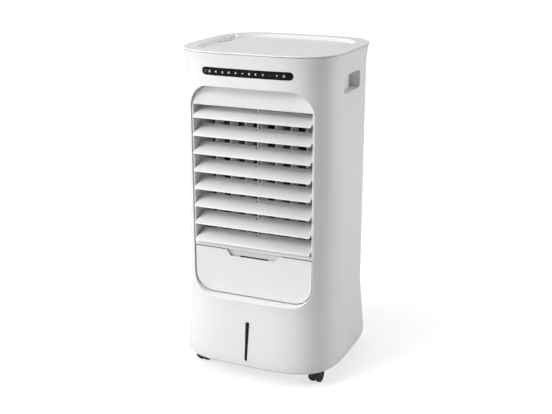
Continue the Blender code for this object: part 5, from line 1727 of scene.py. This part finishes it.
floor_finish = Finish("studio_floor")
path = floor_finish.add("ShaderNodeLightPath").outputs["Is Camera Ray"]
paper = floor_finish.remap(floor_finish.noise(6.0, 4.0), 0.3, 0.7, 0.985, 1.0)
reach = floor_finish.add("ShaderNodeVectorMath", operation="LENGTH")
floor_finish.feed(reach.inputs[0], floor_finish.add("ShaderNodeTexCoord").outputs["Object"])
glow = floor_finish.remap(reach.outputs["Value"], 0.3, 2.4, 0.66, 1.0)
floor_finish.set("Base Color", floor_finish.mix(path, (0.60, 0.60, 0.60), (0.50, 0.50, 0.50)))
floor_finish.set("Roughness", floor_finish.remap(floor_finish.noise(60.0), 0.3, 0.7, 0.85, 0.95))
floor_finish.set("Specular IOR Level", 0.1)
floor_finish.set("Emission Color", (1.0, 1.0, 1.0))
seen = floor_finish.math("MULTIPLY", path, glow)
floor_finish.set("Emission Strength", floor_finish.math("MULTIPLY", seen, paper))
corners = [(u, v, 0) for u, v in rectangle(-14, -14, 14, 14)]
floor = from_data("studio_floor", corners, [(0, 1, 2, 3)], False)
floor.data.materials.append(floor_finish.material)

world = bpy.data.worlds.new("studio")
scene.world = world
world.use_nodes = True
nodes, links = world.node_tree.nodes, world.node_tree.links
background = nodes["Background"]
light_path = nodes.new("ShaderNodeLightPath")
level = nodes.new("ShaderNodeMapRange")
level.inputs["To Max"].default_value = 1.0
shade_way = nodes.new("ShaderNodeVectorMath")
shade_way.operation = "DOT_PRODUCT"
shade_way.inputs[1].default_value = (0.55, -0.60, 0.58)
links.new(nodes.new("ShaderNodeTexCoord").outputs["Generated"], shade_way.inputs[0])
dimmed = nodes.new("ShaderNodeMapRange")
for name, number in (("From Min", 0.2), ("From Max", 0.95), ("To Min", 0.46), ("To Max", 0.08)):
    dimmed.inputs[name].default_value = number
links.new(shade_way.outputs["Value"], dimmed.inputs["Value"])
links.new(dimmed.outputs["Result"], level.inputs["To Min"])
links.new(light_path.outputs["Is Camera Ray"], level.inputs["Value"])
links.new(level.outputs["Result"], background.inputs["Strength"])
background.inputs["Color"].default_value = (1.0, 1.0, 1.0, 1.0)


def softbox(name, place, size, watts):
    """A rectangular lamp turned to the middle of the cooler."""
    light = bpy.data.lights.new(name, "AREA")
    light.shape = "RECTANGLE"
    light.size, light.size_y = size
    light.energy = watts
    obj = placed(name, light)
    obj.location = place
    obj.rotation_euler = (Vector((0, 0, 0.45)) - Vector(place)).to_track_quat("-Z", "Y").to_euler()


softbox("key", (-3.3, -3.7, 2.5), (3.0, 3.0), 134)
softbox("side", (2.9, 1.9, 1.3), (1.8, 1.6), 60)
softbox("back", (-3.2, 1.5, 1.3), (2.0, 1.6), 12)
softbox("front", (-2.2, -3.6, 3.7), (2.0, 2.0), 96)
softbox("overhead", (-1.1, -1.4, 4.6), (2.0, 2.0), 52)

camera_data = bpy.data.cameras.new("camera")
camera_data.sensor_width = 36.0
camera_data.lens = 62.38
camera = placed("camera", camera_data)
azimuth, elevation, distance = math.radians(23.23), math.radians(17.41), 2.4546
target = Vector((-0.0044 * math.cos(azimuth), -0.0044 * math.sin(azimuth), 0.388 + BODY_LIFT))
back_way = Vector(
    (math.sin(azimuth) * math.cos(elevation), -math.cos(azimuth) * math.cos(elevation), math.sin(elevation))
)
camera.location = target + back_way * distance
camera.rotation_euler = (-back_way).to_track_quat("-Z", "Y").to_euler()
scene.camera = camera
